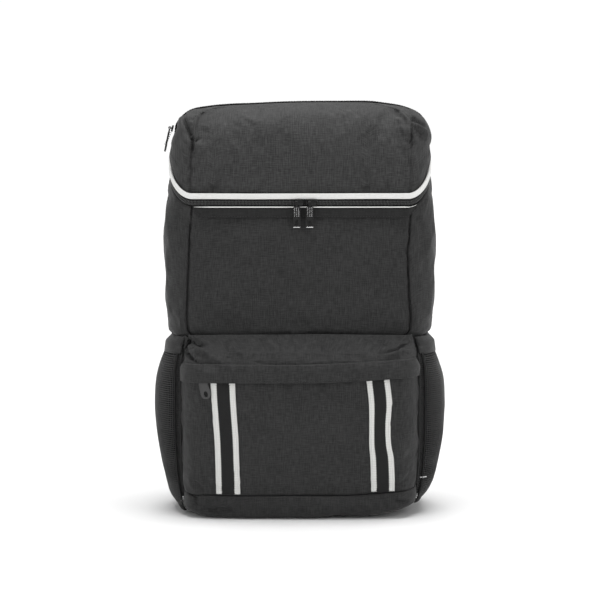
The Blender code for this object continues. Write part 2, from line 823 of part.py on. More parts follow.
def side_cover(side, depth, z, reach, thick, inset=0.0):
    """Point of a cloth over the side, from its seam on the front pocket to its back seam."""
    front = pocket_shape(pocket_share(z))
    front_x = front.half + 2 * GAP + thick
    front_y = front.front + front.front_corner
    body = body_shape(z)
    back_y = body.back - body.back_corner
    seam = Station("side", 1, (back_y - MESH_BACK_Y) / (back_y - body.front - body.front_corner))
    back_x = max(outline_point(body, seam)[0] + GAP, front_x) + GAP + thick
    swell = math.sin(math.pi * min(depth * 1.02, 1.0)) ** 0.55
    base_x = front_x + (back_x - front_x) * min(depth * 2.2, 1.0)
    x = base_x + max(reach - base_x, 0.0) * swell
    y = front_y + depth * (MESH_BACK_Y - front_y)
    return Vector((side * (x - inset), y, z))


def build_mesh_pockets(net, cloth):
    """Mesh side pockets, each with the cloth hem along its mouth."""
    depths = levels(0.0, 1.0, 11)
    top = HEM_TOP_Z - HEM_HEIGHT - GAP
    for side, word in ((-1, "left"), (1, "right")):
        grids = []
        for inset in (0.0, MESH_THICK):
            rows = []
            for height in levels(0.0, 1.0, 9):
                z = MESH_LOW_Z + height * (top - MESH_LOW_Z)
                reach = BODY_WIDTH / 2 * smooth_row(MESH_ROWS, height).reach
                rows.append([side_cover(side, d, z, reach, MESH_THICK, inset) for d in depths])
            grids.append(rows)
        slab(f"mesh_pocket_{word}", *grids, net)
        grids = []
        for inset in (0.0, HEM_THICK):
            rows = []
            for z in (HEM_TOP_Z - HEM_HEIGHT, HEM_TOP_Z - HEM_HEIGHT / 2, HEM_TOP_Z):
                rows.append([side_cover(side, d, z, HEM_OUT, HEM_THICK, inset) for d in depths])
            grids.append(rows)
        slab(f"mesh_hem_{word}", *grids, cloth)


def box_mesh(mesh_data, low, high):
    """Add a box between two corners."""
    size = Vector(high) - Vector(low)
    centre = (Vector(high) + Vector(low)) / 2
    place = Matrix.Translation(centre) @ Matrix.Diagonal((*size, 1.0))
    bmesh.ops.create_cube(mesh_data, size=1.0, matrix=place)


def rod_mesh(mesh_data, radius, start, end, sides):
    """Add a round bar along X between two x values, on the line y = z = 0 of its own frame."""
    turn = Matrix.Rotation(math.pi / 2, 4, "Y")
    place = Matrix.Translation(Vector(((start + end) / 2, 0.0, 0.0))) @ turn
    bmesh.ops.create_cone(
        mesh_data,
        cap_ends=True,
        segments=sides,
        radius1=radius,
        radius2=radius,
        depth=end - start,
        matrix=place,
    )


def helper(name, mesh_data, place):
    """A hidden cutter or joining shape, kept out of the render."""
    made = add_object(name, mesh_data, material("helper", "808080", 0.5))
    made.matrix_world = place
    made.hide_render = True
    made.display_type = "WIRE"
    return made


def boolean(target, other, operation):
    """Join or cut a piece with a helper shape."""
    modifier = target.modifiers.new(other.name, "BOOLEAN")
    modifier.operation = operation
    modifier.object = other
    modifier.solver = "EXACT"


def build_slider(name, place, metal):
    """Zip slider: a shield-shaped body with the bail that its pull swings on.

    In its own frame the bail's bar lies along X, the zip's face is y = 0 and -Y points out.
    """
    half, high = SLIDER_LENGTH / 2, SLIDER_HEIGHT / 2
    outline = (
        (-half, -high * 0.55),
        (-half * 0.6, -high),
        (half * 0.6, -high),
        (half, -high * 0.55),
        (half, high * 0.55),
        (half * 0.6, high),
        (-half * 0.6, high),
        (-half, high * 0.55),
    )
    rows = ((GAP, 1.0), (SLIDER_THICK * 0.6, 1.0), (SLIDER_THICK, 0.86))
    sections = [[Vector((x * s, -y, z * s)) for x, z in outline] for y, s in rows]
    made = loft(name, sections, metal)
    made.matrix_world = place
    bail = bmesh.new()
    wire = BAIL_WIRE
    inner, outer = BAIL_SPAN / 2, BAIL_SPAN / 2 + 2 * wire
    arch = (
        (-outer, SLIDER_THICK - wire),
        (-outer, BAIL_REACH),
        (-inner, BAIL_REACH + wire),
        (inner, BAIL_REACH + wire),
        (outer, BAIL_REACH),
        (outer, SLIDER_THICK - wire),
        (inner, SLIDER_THICK - wire),
        (inner, BAIL_REACH - wire),
        (-inner, BAIL_REACH - wire),
        (-inner, SLIDER_THICK - wire),
    )
    faces = []
    for z in (-wire, wire):
        faces.append([bail.verts.new((x, -y, z)) for x, y in arch])
    skin(bail, faces[0], faces[1], True)
    bail.faces.new(faces[0])
    bail.faces.new(faces[1])
    boolean(made, helper(f"{name}_bail", bail, place), "UNION")
    return made


def build_pull(name, place, shift, metal):
    """Pull tab: a plate with a slot near its end, hung by an eye round the bail's bar.

    Its own frame is the slider's, moved so that the origin is on the bar's axis.
    """
    half = PULL_WIDTH / 2
    eye = PULL_EYE + PULL_EYE_WALL
    low = -PULL_LENGTH
    sleeve_half = PULL_EYE_WIDTH / 2
    neck = sleeve_half * 0.85
    outline = (
        (-neck, -PULL_EYE - PULL_EYE_WALL / 2),
        (-neck, -eye - PULL_NECK),
        (-half, -eye - PULL_NECK - PULL_SHOULDER),
        (-half, low + PULL_RIM),
        (-half + PULL_RIM / 2, low),
        (half - PULL_RIM / 2, low),
        (half, low + PULL_RIM),
        (half, -eye - PULL_NECK - PULL_SHOULDER),
        (neck, -eye - PULL_NECK),
        (neck, -PULL_EYE - PULL_EYE_WALL / 2),
    )
    thick = PULL_THICK / 2
    sections = [[Vector((x + shift, y, z)) for x, z in outline] for y in (-thick, thick)]
    made = loft(name, sections, metal)
    made.matrix_world = place
    slot = bmesh.new()
    slot_low = low + PULL_RIM
    wide = PULL_SLOT_WIDTH / 2
    box_mesh(
        slot,
        (shift - wide, -PULL_THICK, slot_low),
        (shift + wide, PULL_THICK, slot_low + PULL_SLOT_LENGTH),
    )
    boolean(made, helper(f"{name}_slot", slot, place), "DIFFERENCE")
    sleeve = bmesh.new()
    rod_mesh(sleeve, eye, shift - sleeve_half, shift + sleeve_half, 12)
    boolean(made, helper(f"{name}_sleeve", sleeve, place), "UNION")
    bore = bmesh.new()
    rod_mesh(bore, PULL_EYE, shift - PULL_WIDTH, shift + PULL_WIDTH, 12)
    boolean(made, helper(f"{name}_bore", bore, place), "DIFFERENCE")
    return made


def frame_at(origin, bar, outwards):
    """A frame whose X is the bail's bar and whose -Y points out of the cloth."""
    x_axis = bar.normalized()
    y_axis = -outwards.normalized()
    z_axis = x_axis.cross(y_axis)
    turn = Matrix((x_axis, y_axis, z_axis)).transposed().to_4x4()
    return Matrix.Translation(origin) @ turn


def build_lid_pulls(metal):
    """The two sliders that meet in the middle of the lid's zip, with their pulls."""
    shape = body_shape(ZIP_FRONT_Z)
    for x, word in ((LEFT_SLIDER_X, "left"), (RIGHT_SLIDER_X, "right")):
        z = zip_z(front_station(shape, x)) - ZIP_CHAIN / 2
        face = body_point(front_station(shape, x), z, WALL / 4 - ZIP_THICK)
        clear = PIPING_OUT + GAP - (ZIP_THICK - WALL / 4)
        place = frame_at(Vector((x, face.y - clear, z)), Vector((1, 0, 0)), Vector((0, -1, 0)))
        build_slider(f"lid_slider_{word}", place, metal)
        pivot = place @ Matrix.Translation(Vector((0.0, -BAIL_REACH, 0.0)))
        build_pull(f"lid_pull_{word}", pivot, PULL_SHIFT, metal)


def crown_path():
    """Points and outward normals over the lid in the plane of its crown, left to right."""
    heights = levels(CROWN_ZIP_END_Z, HEIGHT, 9, 0.6)
    left = [Vector((lid_side_x(z, -1), LID_CROWN_Y, z)) for z in heights]
    right = [Vector((lid_side_x(z, 1), LID_CROWN_Y, z)) for z in reversed(heights)]
    flat = [left[-1].lerp(right[0], share) for share in (0.25, 0.5, 0.75)]
    points = left + flat + right
    normals = []
    for i, point in enumerate(points):
        ahead = points[min(i + 1, len(points) - 1)] - points[max(i - 1, 0)]
        normals.append(Vector((-ahead.z, 0.0, ahead.x)).normalized())
    return list(zip(points, normals))


def build_crown_zip(tape, metal):
    """Zip of the lid's flat pocket, over the crown, with a slider and pull at its left end."""
    sections = []
    half = CROWN_ZIP_WIDTH / 2
    for point, normal in crown_path():
        near = point + normal * 2 * GAP
        far = near + normal * CROWN_ZIP_THICK
        corners = ((near, -half), (far, -half), (far, half), (near, half))
        sections.append([corner + Vector((0, dy, 0)) for corner, dy in corners])
    loft("lid_pocket_zip", sections, tape)
    foot = Vector((lid_side_x(CROWN_SLIDER_Z, -1), LID_CROWN_Y, CROWN_SLIDER_Z))
    above = CROWN_SLIDER_Z + SLIDER_HEIGHT / 2
    up = Vector((lid_side_x(above, -1), LID_CROWN_Y, above)) - foot
    outwards = Vector((-up.z, 0.0, up.x)).normalized()
    face = foot + outwards * (CROWN_ZIP_THICK + 3 * GAP)
    place = frame_at(face, Vector((0, -1, 0)), outwards)
    build_slider("lid_pocket_slider", place, metal)
    axis = place @ Vector((0.0, -BAIL_REACH, 0.0))
    lean = math.radians(CROWN_PULL_LEAN)
    hang = frame_at(axis, Vector((0, -1, 0)), Vector((-math.cos(lean), 0.0, math.sin(lean))))
    build_pull("lid_pocket_pull", hang, 0.0, metal)


def build_pocket_pull(metal):
    """Slider and tab of the front pocket's zip, the tab's end showing below the flap."""
    shape = pocket_shape(pocket_share(POCKET_ZIP_Z))
    surface = [on_pocket(front_station(shape, TAB_X + dx), POCKET_ZIP_Z) for dx in (0.0, TAB_WIDTH)]
    bar = surface[1] - surface[0]
    outwards = bar.cross(Vector((0, 0, 1))).normalized()
    place = frame_at(surface[0] + outwards * (POCKET_ZIP_THICK + 3 * GAP), bar, outwards)
    plate = bmesh.new()
    wide, high = SLIDER_LENGTH / 2, SLIDER_HEIGHT / 2
    box_mesh(plate, (-wide, -POCKET_SLIDER_THICK, -high), (wide, 0.0, high))
    slider = add_object("pocket_slider", plate, metal)
    slider.matrix_world = place
    post = bmesh.new()
    near = POCKET_SLIDER_THICK + GAP
    far = near + TAB_THICK
    box_mesh(post, (-BAIL_WIRE, -far, -BAIL_WIRE), (BAIL_WIRE, -POCKET_SLIDER_THICK / 2, BAIL_WIRE))
    boolean(slider, helper("pocket_slider_post", post, place), "UNION")

    lean = Matrix.Rotation(math.radians(-TAB_LEAN), 4, "Y")
    half = TAB_WIDTH / 2
    arc = [math.radians(180 + 180 * i / 8) for i in range(9)]
    bottom = -TAB_LENGTH + half + TAB_EYE_RIM
    outline = [(half * math.cos(a), bottom + half * math.sin(a)) for a in arc]
    outline += [(half * 0.8, TAB_EYE_RIM), (-half * 0.8, TAB_EYE_RIM)]
    sections = [[Vector((x, -y, z)) for x, z in outline] for y in (near, far)]
    tab = loft("pocket_pull", sections, metal)
    tab.matrix_world = place @ lean
    holes = (
        ("pocket_pull_eye", PULL_EYE + GAP, 0.0, PULL_EYE + GAP),
        ("pocket_pull_hole", TAB_HOLE_WIDTH / 2, bottom, TAB_HOLE_HEIGHT / 2),
    )
    for name, across, middle, tall in holes:
        cutter = bmesh.new()
        ring = [math.radians(360 * i / 10) for i in range(10)]
        ends = []
        oval = [(across * math.cos(a), middle + tall * math.sin(a)) for a in ring]
        for y in (2 * far, -2 * far):
            ends.append([cutter.verts.new((x, y, z)) for x, z in oval])
        skin(cutter, ends[0], ends[1], True)
        cutter.faces.new(ends[0])
        cutter.faces.new(ends[1])
        boolean(tab, helper(name, cutter, place @ lean), "DIFFERENCE")


def build_back_pad(net):
    """Padded back with a hollow spine channel, lying on the back wall."""
    half = PAD_WIDTH / 2
    spine = SPINE_WIDTH / 2
    soft = PAD_THICK
    columns = [-half, -half + soft / 2, -half + 2 * soft, -half * 0.5, -spine - soft, -spine, 0.0]
    columns += [-x for x in reversed(columns[:-1])]
    tall = PAD_TOP_Z - PAD_LOW_Z
    rows = [0.0, soft / 2, 2 * soft, tall * 0.3, tall * 0.5, tall * 0.7, tall - 2 * soft]
    rows += [tall - soft / 2, tall]
    outer, inner = [], []
    for rise in rows:
        near, far = [], []
        for x in columns:
            edge = min(half - abs(x), rise, tall - rise)
            round_off = superellipse(1 - min(edge / (2 * soft), 1.0), 2.5)
            dip = SPINE_DEPTH * (1 - min(max((abs(x) - spine) / soft, 0.0), 1.0))
            thick = max(PAD_THICK * (0.3 + 0.7 * round_off) - dip * round_off, CLOTH)
            near.append(Vector((x, BACK_Y + GAP, PAD_LOW_Z + rise)))
            far.append(Vector((x, BACK_Y + GAP + thick, PAD_LOW_Z + rise)))
        inner.append(near)
        outer.append(far)
    slab("back_pad", outer, inner, net)


def flat_sweep(name, path, widths, thick, finish, corners=4):
    """A strap along a path in Y and Z, flat across X; wide ones get rounded edges."""
    sections = []
    for i, (point, width) in enumerate(zip(path, widths)):
        ahead = path[min(i + 1, len(path) - 1)] - path[max(i - 1, 0)]
        normal = Vector((0.0, -ahead.z, ahead.y)).normalized()
        half, side = thick / 2, width / 2
        if corners == 4:
            shape = ((-side, -half), (side, -half), (side, half), (-side, half))
        else:
            edge = side - half * 0.6
            shape = (
                (-edge, -half),
                (edge, -half),
                (side, -half * 0.3),
                (side, half * 0.3),
                (edge, half),
                (-edge, half),
                (-side, half * 0.3),
                (-side, -half * 0.3),
            )
        sections.append([point + Vector((x, 0, 0)) + normal * y for x, y in shape])
    return loft(name, sections, finish)


def strap_path(side):
    """Centre line of a padded strap, from its top end down."""
    off = BACK_Y + PAD_THICK + STRAP_THICK / 2
    top = PAD_TOP_Z + YOKE_HEIGHT + GAP
    points = []
    for row in STRAP_ROWS:
        x = side * (STRAP_TOP_X + STRAP_SPLAY * row.out)
        points.append(Vector((x, off + STRAP_BOW * row.off, top - STRAP_DROP * row.down)))
    return points


def build_straps(cloth, webbing, plastic):
    """Shoulder straps, their ladder adjusters and webbing, and the yoke above them."""
    for side, word in ((-1, "left"), (1, "right")):
        path = strap_path(side)
        widths = [STRAP_WIDTH * row.width for row in STRAP_ROWS]
        flat_sweep(f"strap_{word}", path, widths, STRAP_THICK, cloth, corners=8)
        lean = abs((path[-2] - path[-1]).normalized().y)
        end = path[-1] - Vector((0.0, 0.0, lean * STRAP_THICK / 2 + GAP))
        build_adjuster(side, word, end, webbing, plastic)
    low = PAD_TOP_Z + GAP
    yoke = bmesh.new()
    half = YOKE_WIDTH / 2
    box_mesh(yoke, (-half, BACK_Y + GAP, low), (half, BACK_Y + GAP + CLOTH, low + YOKE_HEIGHT))
    add_object("strap_yoke", yoke, cloth)


def build_adjuster(side, word, strap_end, webbing, plastic):
    """Ladder adjuster below a strap: a short loop from the strap, and the long webbing."""
    bar, slot = ADJUSTER_BAR, ADJUSTER_SLOT
    half = ADJUSTER_WIDTH / 2
    top = strap_end.z - ADJUSTER_DROP
    centre_y = strap_end.y
    x = strap_end.x
    low = top - 3 * bar - 2 * slot
    thick = ADJUSTER_THICK / 2
    plate = bmesh.new()
    box_mesh(plate, (x - half, centre_y - thick, low), (x + half, centre_y + thick, top))
    made = add_object(f"adjuster_{word}", plate, plastic)
    inside = WEB_WIDTH / 2 + 2 * GAP
    for i, base in enumerate((low + bar, low + 2 * bar + slot)):
        cutter = bmesh.new()
        front, back = centre_y - ADJUSTER_THICK, centre_y + ADJUSTER_THICK
        box_mesh(cutter, (x - inside, front, base), (x + inside, back, base + slot))
        cut = helper(f"adjuster_{word}_slot_{i}", cutter, Matrix.Identity(4))
        boolean(made, cut, "DIFFERENCE")

    reach = (math.hypot(thick, bar / 2) + GAP) / math.cos(math.pi / 8) + WEBBING / 2
    bar_z = top - bar / 2
    wrap = [math.radians(a) for a in (0, -45, -90, -135, -180)]
    loop = [Vector((x, centre_y + STRAP_THICK * 0.30, strap_end.z))]
    loop += [Vector((x, centre_y + reach * math.cos(a), bar_z + reach * math.sin(a))) for a in wrap]
    loop += [Vector((x, centre_y - STRAP_THICK * 0.30, strap_end.z))]
    flat_sweep(f"strap_loop_{word}", loop, [WEB_WIDTH] * len(loop), WEBBING, webbing)

    middle_z = low + bar + slot + bar / 2
    over = [math.radians(a) for a in (180, 135, 90, 45, 0)]
    anchor_x = side * (PAD_WIDTH / 2 - WEB_WIDTH / 2)
    anchor = Vector((anchor_x, BACK_Y + PAD_THICK + 3 * GAP, PAD_LOW_Z + WEB_SEAM_RISE))
    route = [anchor, anchor + Vector((0, 2 * GAP, WEB_SEAM))]
    behind = Vector((x, centre_y - reach, low - bar))
    route += [anchor.lerp(behind, share) for share in (0.45, 0.75)]
    route += [behind, Vector((x, centre_y - reach, middle_z - bar))]
    route += [Vector((x, centre_y + reach * math.cos(a), middle_z + reach * math.sin(a))) for a in over]
    route += [Vector((x, centre_y + reach, low - bar / 2))]
    tail = ((0.7, 0.35), (0.7, 0.70), (-0.7, 1.00))
    for out, drop in tail:
        route.append(Vector((x, centre_y + reach + WEBBING * out, low - WEB_TAIL * drop)))
    flat_sweep(f"strap_web_{word}", route, [WEB_WIDTH] * len(route), WEBBING, webbing)


def build_handle(webbing):
    """Grab handle: an arch of webbing standing behind the lid's hinge."""
    half = HANDLE_SPAN / 2
    low = PAD_TOP_Z + GAP + YOKE_HEIGHT + GAP
    y = BACK_Y + 2 * GAP + HANDLE_WIDTH / 2
    sections = []
    for i in range(15):
        turn = math.pi * i / 14
        across, rise = -math.cos(turn), math.sin(turn) ** 0.75
        point = Vector((half * across, y, low + HANDLE_RISE * rise))
        normal = Vector((across / half, 0.0, max(math.sin(turn), 0.0) / HANDLE_RISE)).normalized()
        thick, wide = normal * HANDLE_THICK / 2, Vector((0, HANDLE_WIDTH / 2, 0))
        near, far = point - thick, point + thick
        sections.append([near - wide, far - wide, far + wide, near + wide])
    loft("grab_handle", sections, webbing)


def main():
    """Clear the scene and build every piece."""
    for old in list(bpy.data.objects):
        bpy.data.objects.remove(old)
    cloth = material("ripstop_cloth", "3a3a3a", 0.85)
    tape = material("zip_tape", "1f1f1f", 0.8)
    white = material("white_piping", "ececec", 0.6)
    metal = material("black_metal", "141414", 0.35, 0.6)
    webbing = material("striped_webbing", "262626", 0.8)
    net = material("side_mesh", "2a2a2a", 0.8)
    plastic = material("black_plastic", "161616", 0.45)
    build_walls(cloth)
    build_base(cloth)
    build_lid(cloth)
    build_zip_line(tape, white, cloth)
    build_front_pocket(cloth, tape)
    build_ribbons(webbing)
    build_mesh_pockets(net, cloth)
    build_lid_pulls(metal)
    build_crown_zip(tape, metal)
    build_pocket_pull(metal)
    build_back_pad(net)
    build_straps(cloth, webbing, plastic)
    build_handle(webbing)


main()
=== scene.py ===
"""Looks of the cooler backpack: ripstop cloth over padded walls, a domed zipped lid with a
white trim, a front pocket with two striped ribbons, net side pockets and a padded back.

Metres, +Z up, the front faces -Y. Every piece lies where its CAD solid lies.
"""

from __future__ import annotations

import json
import logging
import math
from dataclasses import dataclass, field
from enum import Enum
from typing import Sequence

import bmesh
import bpy
import numpy as np
from mathutils import Matrix, Vector, noise
from mathutils.bvhtree import BVHTree

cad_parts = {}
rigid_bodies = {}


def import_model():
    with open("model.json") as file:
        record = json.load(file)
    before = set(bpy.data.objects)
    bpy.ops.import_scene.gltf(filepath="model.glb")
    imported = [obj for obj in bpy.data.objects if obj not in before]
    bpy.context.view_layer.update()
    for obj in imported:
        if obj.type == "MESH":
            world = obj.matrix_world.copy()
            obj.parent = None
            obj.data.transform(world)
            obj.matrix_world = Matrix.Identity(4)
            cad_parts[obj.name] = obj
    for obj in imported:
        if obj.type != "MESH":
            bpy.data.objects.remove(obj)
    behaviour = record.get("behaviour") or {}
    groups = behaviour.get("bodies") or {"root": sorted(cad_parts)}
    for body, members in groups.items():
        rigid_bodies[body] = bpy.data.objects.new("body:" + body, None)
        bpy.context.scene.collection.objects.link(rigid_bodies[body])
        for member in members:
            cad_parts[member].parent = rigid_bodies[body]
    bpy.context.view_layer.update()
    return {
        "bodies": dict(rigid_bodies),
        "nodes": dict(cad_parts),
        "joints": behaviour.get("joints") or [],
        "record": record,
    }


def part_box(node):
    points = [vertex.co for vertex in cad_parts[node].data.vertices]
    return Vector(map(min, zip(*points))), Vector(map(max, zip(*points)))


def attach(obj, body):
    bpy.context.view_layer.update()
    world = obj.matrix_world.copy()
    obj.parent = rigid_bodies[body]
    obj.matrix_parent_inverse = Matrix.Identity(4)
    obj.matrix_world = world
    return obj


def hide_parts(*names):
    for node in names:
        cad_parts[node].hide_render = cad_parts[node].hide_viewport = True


LOG = logging.getLogger("backpack")
MM = 0.001
# Clearance that the CAD leaves between neighbouring solids
GAP = 0.0004
# Body that all pieces but the swinging pulls ride on
BAG = "bag"
# How many times deeper than its table says a crease is pressed
FOLD_GAIN = 1.7
FORWARD = (0.0, -1.0, 0.0)
BACKWARD = (0.0, 1.0, 0.0)


class Edge(Enum):
    """The five edges of half a plan outline, from the middle of the back to the front."""

    BACK = 0
    BACK_CORNER = 1
    SIDE = 2
    FRONT_CORNER = 3
    FRONT = 4


class Facing(Enum):
    """The side of the bag that a crease is pressed into, seen square on."""

    FRONT = "front"
    LEFT = "left"
    RIGHT = "right"


# Finishes


def linear(colour: str) -> tuple[float, float, float, float]:
    """Turn an sRGB hex colour to a linear one.

    Args:
        colour: Six hex digits.

    Returns:
        Linear red, green and blue with full alpha.
    """
    levels = [int(colour[i : i + 2], 16) / 255 for i in (0, 2, 4)]
    made = [v / 12.92 if v <= 0.04045 else ((v + 0.055) / 1.055) ** 2.4 for v in levels]
    return made[0], made[1], made[2], 1.0


class Weaver:
    """Builds one material's nodes: each call adds a node with its settings and links."""

    def __init__(self, name: str) -> None:
        """Start an empty material with a Principled surface.

        Args:
            name: Name of the material.
        """
        self.material = bpy.data.materials.new(name)
        self.material.use_nodes = True
        self.nodes = self.material.node_tree.nodes
        self.links = self.material.node_tree.links
        self.surface = self.nodes["Principled BSDF"]

    def add(self, kind: str, inputs: dict | None = None, **settings: object) -> bpy.types.Node:
        """Add a node.

        Args:
            kind: Node type name.
            inputs: Values or linked output sockets by input name or index.
            **settings: Attributes of the node.

        Returns:
            The new node.
        """
        node = self.nodes.new(kind)
        for key, value in settings.items():
            setattr(node, key, value)
        for key, value in (inputs or {}).items():
            self.feed(node.inputs[key], value)
        return node

    def feed(self, socket: bpy.types.NodeSocket, value: object) -> None:
        """Link an output to a socket, or set the socket's value."""
        if isinstance(value, bpy.types.NodeSocket):
            self.links.new(value, socket)
        else:
            socket.default_value = value

    def ramp(
        self, factor: bpy.types.NodeSocket, stops: Sequence[tuple[float, str]]
    ) -> bpy.types.NodeSocket:
        """Map a factor to colours.

        Args:
            factor: Output that drives the ramp.
            stops: Positions and hex colours.

        Returns:
            The colour output.
        """
        node = self.add("ShaderNodeValToRGB", {"Fac": factor})
        elements = node.color_ramp.elements
        while len(elements) < len(stops):
            elements.new(0.5)
        for element, (place, colour) in zip(elements, stops):
            element.position = place
            element.color = linear(colour)
        return node.outputs["Color"]

    def maths(self, operation: str, *values: object) -> bpy.types.NodeSocket:
        """Work out one value from up to three others."""
        return self.add("ShaderNodeMath", dict(enumerate(values)), operation=operation).outputs[0]

    def mix(self, share: object, first: object, second: object, blend: str = "MIX") -> bpy.types.NodeSocket:
        """Mix two colours by a share."""
        inputs = {0: share, 6: first, 7: second}
        return self.add("ShaderNodeMix", inputs, data_type="RGBA", blend_type=blend).outputs[2]

    def noise(self, place: bpy.types.NodeSocket, scale: float, detail: float = 2.0) -> bpy.types.NodeSocket:
        """Value of a noise texture."""
        inputs = {"Vector": place, "Scale": scale, "Detail": detail}
        return self.add("ShaderNodeTexNoise", inputs).outputs["Fac"]

    def bands(
        self, place: bpy.types.NodeSocket, pitch: float, way: str, inputs: dict | None = None
    ) -> bpy.types.NodeSocket:
        """Value of bands that repeat along an axis.

        Args:
            place: Where to read them.
            pitch: Metres from one band to the next.
            way: X or Y.
            inputs: Further inputs of the texture.

        Returns:
            The value, from 0 to 1.
        """
        given = {"Vector": place, "Scale": math.pi / 10 / pitch, **(inputs or {})}
        made = self.add("ShaderNodeTexWave", given, wave_type="BANDS", bands_direction=way)
        return made.outputs["Fac"]

    def bump(self, height: bpy.types.NodeSocket, strength: float, distance: float) -> bpy.types.NodeSocket:
        """Normal of a relief."""
        inputs = {"Height": height, "Strength": strength, "Distance": distance}
        return self.add("ShaderNodeBump", inputs).outputs["Normal"]

    def finished(self, inputs: dict[str, object]) -> bpy.types.Material:
        """Feed the surface's inputs and hand the material over."""
        for name, value in inputs.items():
            self.feed(self.surface.inputs[name], value)
        return self.material


@dataclass(frozen=True)
class RipstopCloth:
    """Ripstop polyester with a slubby melange yarn: a fine square grid and uneven threads."""

    name: str
    dark: str
    light: str
    grid: float = 2.1 * MM
    thread: float = 0.55 * MM
    relief: float = 0.35
    roughness: float = 0.62

    def make(self) -> bpy.types.Material:
        """Build the material on the piece's UV map, in metres.

        Returns:
            The finished material.
        """
        w = Weaver(self.name)
        uv = w.add("ShaderNodeTexCoord").outputs["UV"]
        # Slubs: yarns that swell and fade along their length, across and up the cloth
        slubs = []
        for stretch in ((110.0, 1150.0, 1.0), (950.0, 90.0, 1.0)):
            placed = w.add("ShaderNodeMapping", {"Vector": uv, "Scale": stretch}).outputs["Vector"]
            slubs.append(w.noise(placed, 1.0))
        slub = w.maths("ADD", *slubs)
        cloud = w.noise(uv, 34.0, 3.0)
        drift = w.maths("MULTIPLY_ADD", cloud, 0.12, w.maths("MULTIPLY", slub, 0.44))
        colour = w.ramp(drift, ((0.40, self.dark), (0.62, self.light)))
        # Grid of doubled threads that stops a tear, and the plain weave between them
        uneven = {"Distortion": 0.6, "Detail": 1.0, "Detail Scale": 0.4}
        sharp = [w.maths("POWER", w.bands(uv, self.grid, way, uneven), 5.0) for way in "XY"]
        net = w.maths("MAXIMUM", *sharp)
        weave = w.maths("MULTIPLY", *[w.bands(uv, self.thread, way) for way in "XY"])
        height = w.maths("MULTIPLY_ADD", slub, 0.5, w.maths("MULTIPLY_ADD", weave, 0.35, net))
        return w.finished(
            {
                "Base Color": w.mix(w.maths("MULTIPLY", net, 0.30), colour, linear(self.light)),
                "Normal": w.bump(height, self.relief, 0.25 * MM),
                "Roughness": self.roughness,
                "Specular IOR Level": 0.22,
                "Sheen Weight": 0.07,
                "Sheen Roughness": 0.5,
            }
        )


@dataclass(frozen=True)
class Webbing:
    """Woven polypropylene tape: ribs across it, with optional white stripes at its edges."""

    name: str
    ground: str
    stripe: str = ""
    stripe_edge: float = 7.0 * MM
    rib: float = 1.3 * MM
    relief: float = 0.6

    def make(self) -> bpy.types.Material:
        """Build the material; U runs across the tape from its middle, V along it.

        Returns:
            The finished material.
        """
        w = Weaver(self.name)
        uv = w.add("ShaderNodeTexCoord").outputs["UV"]
        ribs = w.bands(uv, self.rib, "Y")
        woven = w.maths("MULTIPLY", ribs, w.bands(uv, self.rib * 0.8, "X"))
        height = w.maths("MULTIPLY_ADD", w.noise(uv, 900.0), 0.5, woven)
        base = linear(self.ground)
        if self.stripe:
            # The ribs give the stripe's border its small teeth
            away = w.maths("ABSOLUTE", w.add("ShaderNodeSeparateXYZ", {0: uv}).outputs["X"])
            tooth = w.maths("MULTIPLY_ADD", ribs, 0.9 * MM, away)
            base = w.mix(w.maths("GREATER_THAN", tooth, self.stripe_edge), base, linear(self.stripe))
        shade = w.ramp(height, ((0.1, "000000"), (1.1, "ffffff")))
        return w.finished(
            {
                "Base Color": w.mix(0.14, base, shade, "MULTIPLY"),
                "Normal": w.bump(height, self.relief, 0.3 * MM),
                "Roughness": 0.75,
                "Specular IOR Level": 0.3,
            }
        )


@dataclass(frozen=True)
class SpacerMesh:
    """Knitted spacer mesh: a soft face full of small holes, 4 mm apart, each darkened with painted shade.
    """

    name: str
    ground: str
    hole_shade: str
    pitch: float = 4.0 * MM

    def make(self) -> bpy.types.Material:
        """Build the material on the piece's UV map, in metres.

        Returns:
            The finished material.
        """
        w = Weaver(self.name)
        uv = w.add("ShaderNodeTexCoord").outputs["UV"]
        inputs = {"Vector": uv, "Scale": 1 / self.pitch, "Randomness": 0.12}
        cells = w.add("ShaderNodeTexVoronoi", inputs, voronoi_dimensions="2D").outputs["Distance"]
        height = w.maths("MULTIPLY_ADD", w.noise(uv, 1400.0), 0.25, cells)
        return w.finished(
            {
                # The holes take a near-black colour: painted shade inside each hole
                "Base Color": w.ramp(cells, ((0.16, self.hole_shade), (0.34, self.ground))),
                "Normal": w.bump(height, 0.8, 1.2 * MM),
                "Roughness": 0.85,
            }
        )


@dataclass(frozen=True)
class PlainFinish:
    """A moulded, cast or spun surface with fine unevenness in its gloss and relief."""

    name: str
    colour: str
    roughness: float
    metallic: float = 0.0
    grain: float = 1.2 * MM
    relief: float = 0.15
    sheen: float = 0.0

    def make(self) -> bpy.types.Material:
        """Build the material on object coordinates.

        Returns:
            The finished material.
        """
        w = Weaver(self.name)
        speck = w.noise(w.add("ShaderNodeTexCoord").outputs["Object"], 1 / self.grain, 3.0)
        low, high = max(self.roughness - 0.08, 0.05), min(self.roughness + 0.1, 1.0)
        gloss, tone = (
            w.add("ShaderNodeMapRange", {"Value": speck, "To Min": least, "To Max": most}).outputs["Result"]
            for least, most in ((low, high), (0.88, 1.06))
        )
        return w.finished(
            {
                "Base Color": w.mix(1.0, linear(self.colour), tone, "MULTIPLY"),
                "Roughness": gloss,
                "Metallic": self.metallic,
                "Normal": w.bump(speck, self.relief, 0.2 * MM),
                "Sheen Weight": self.sheen,
            }
        )


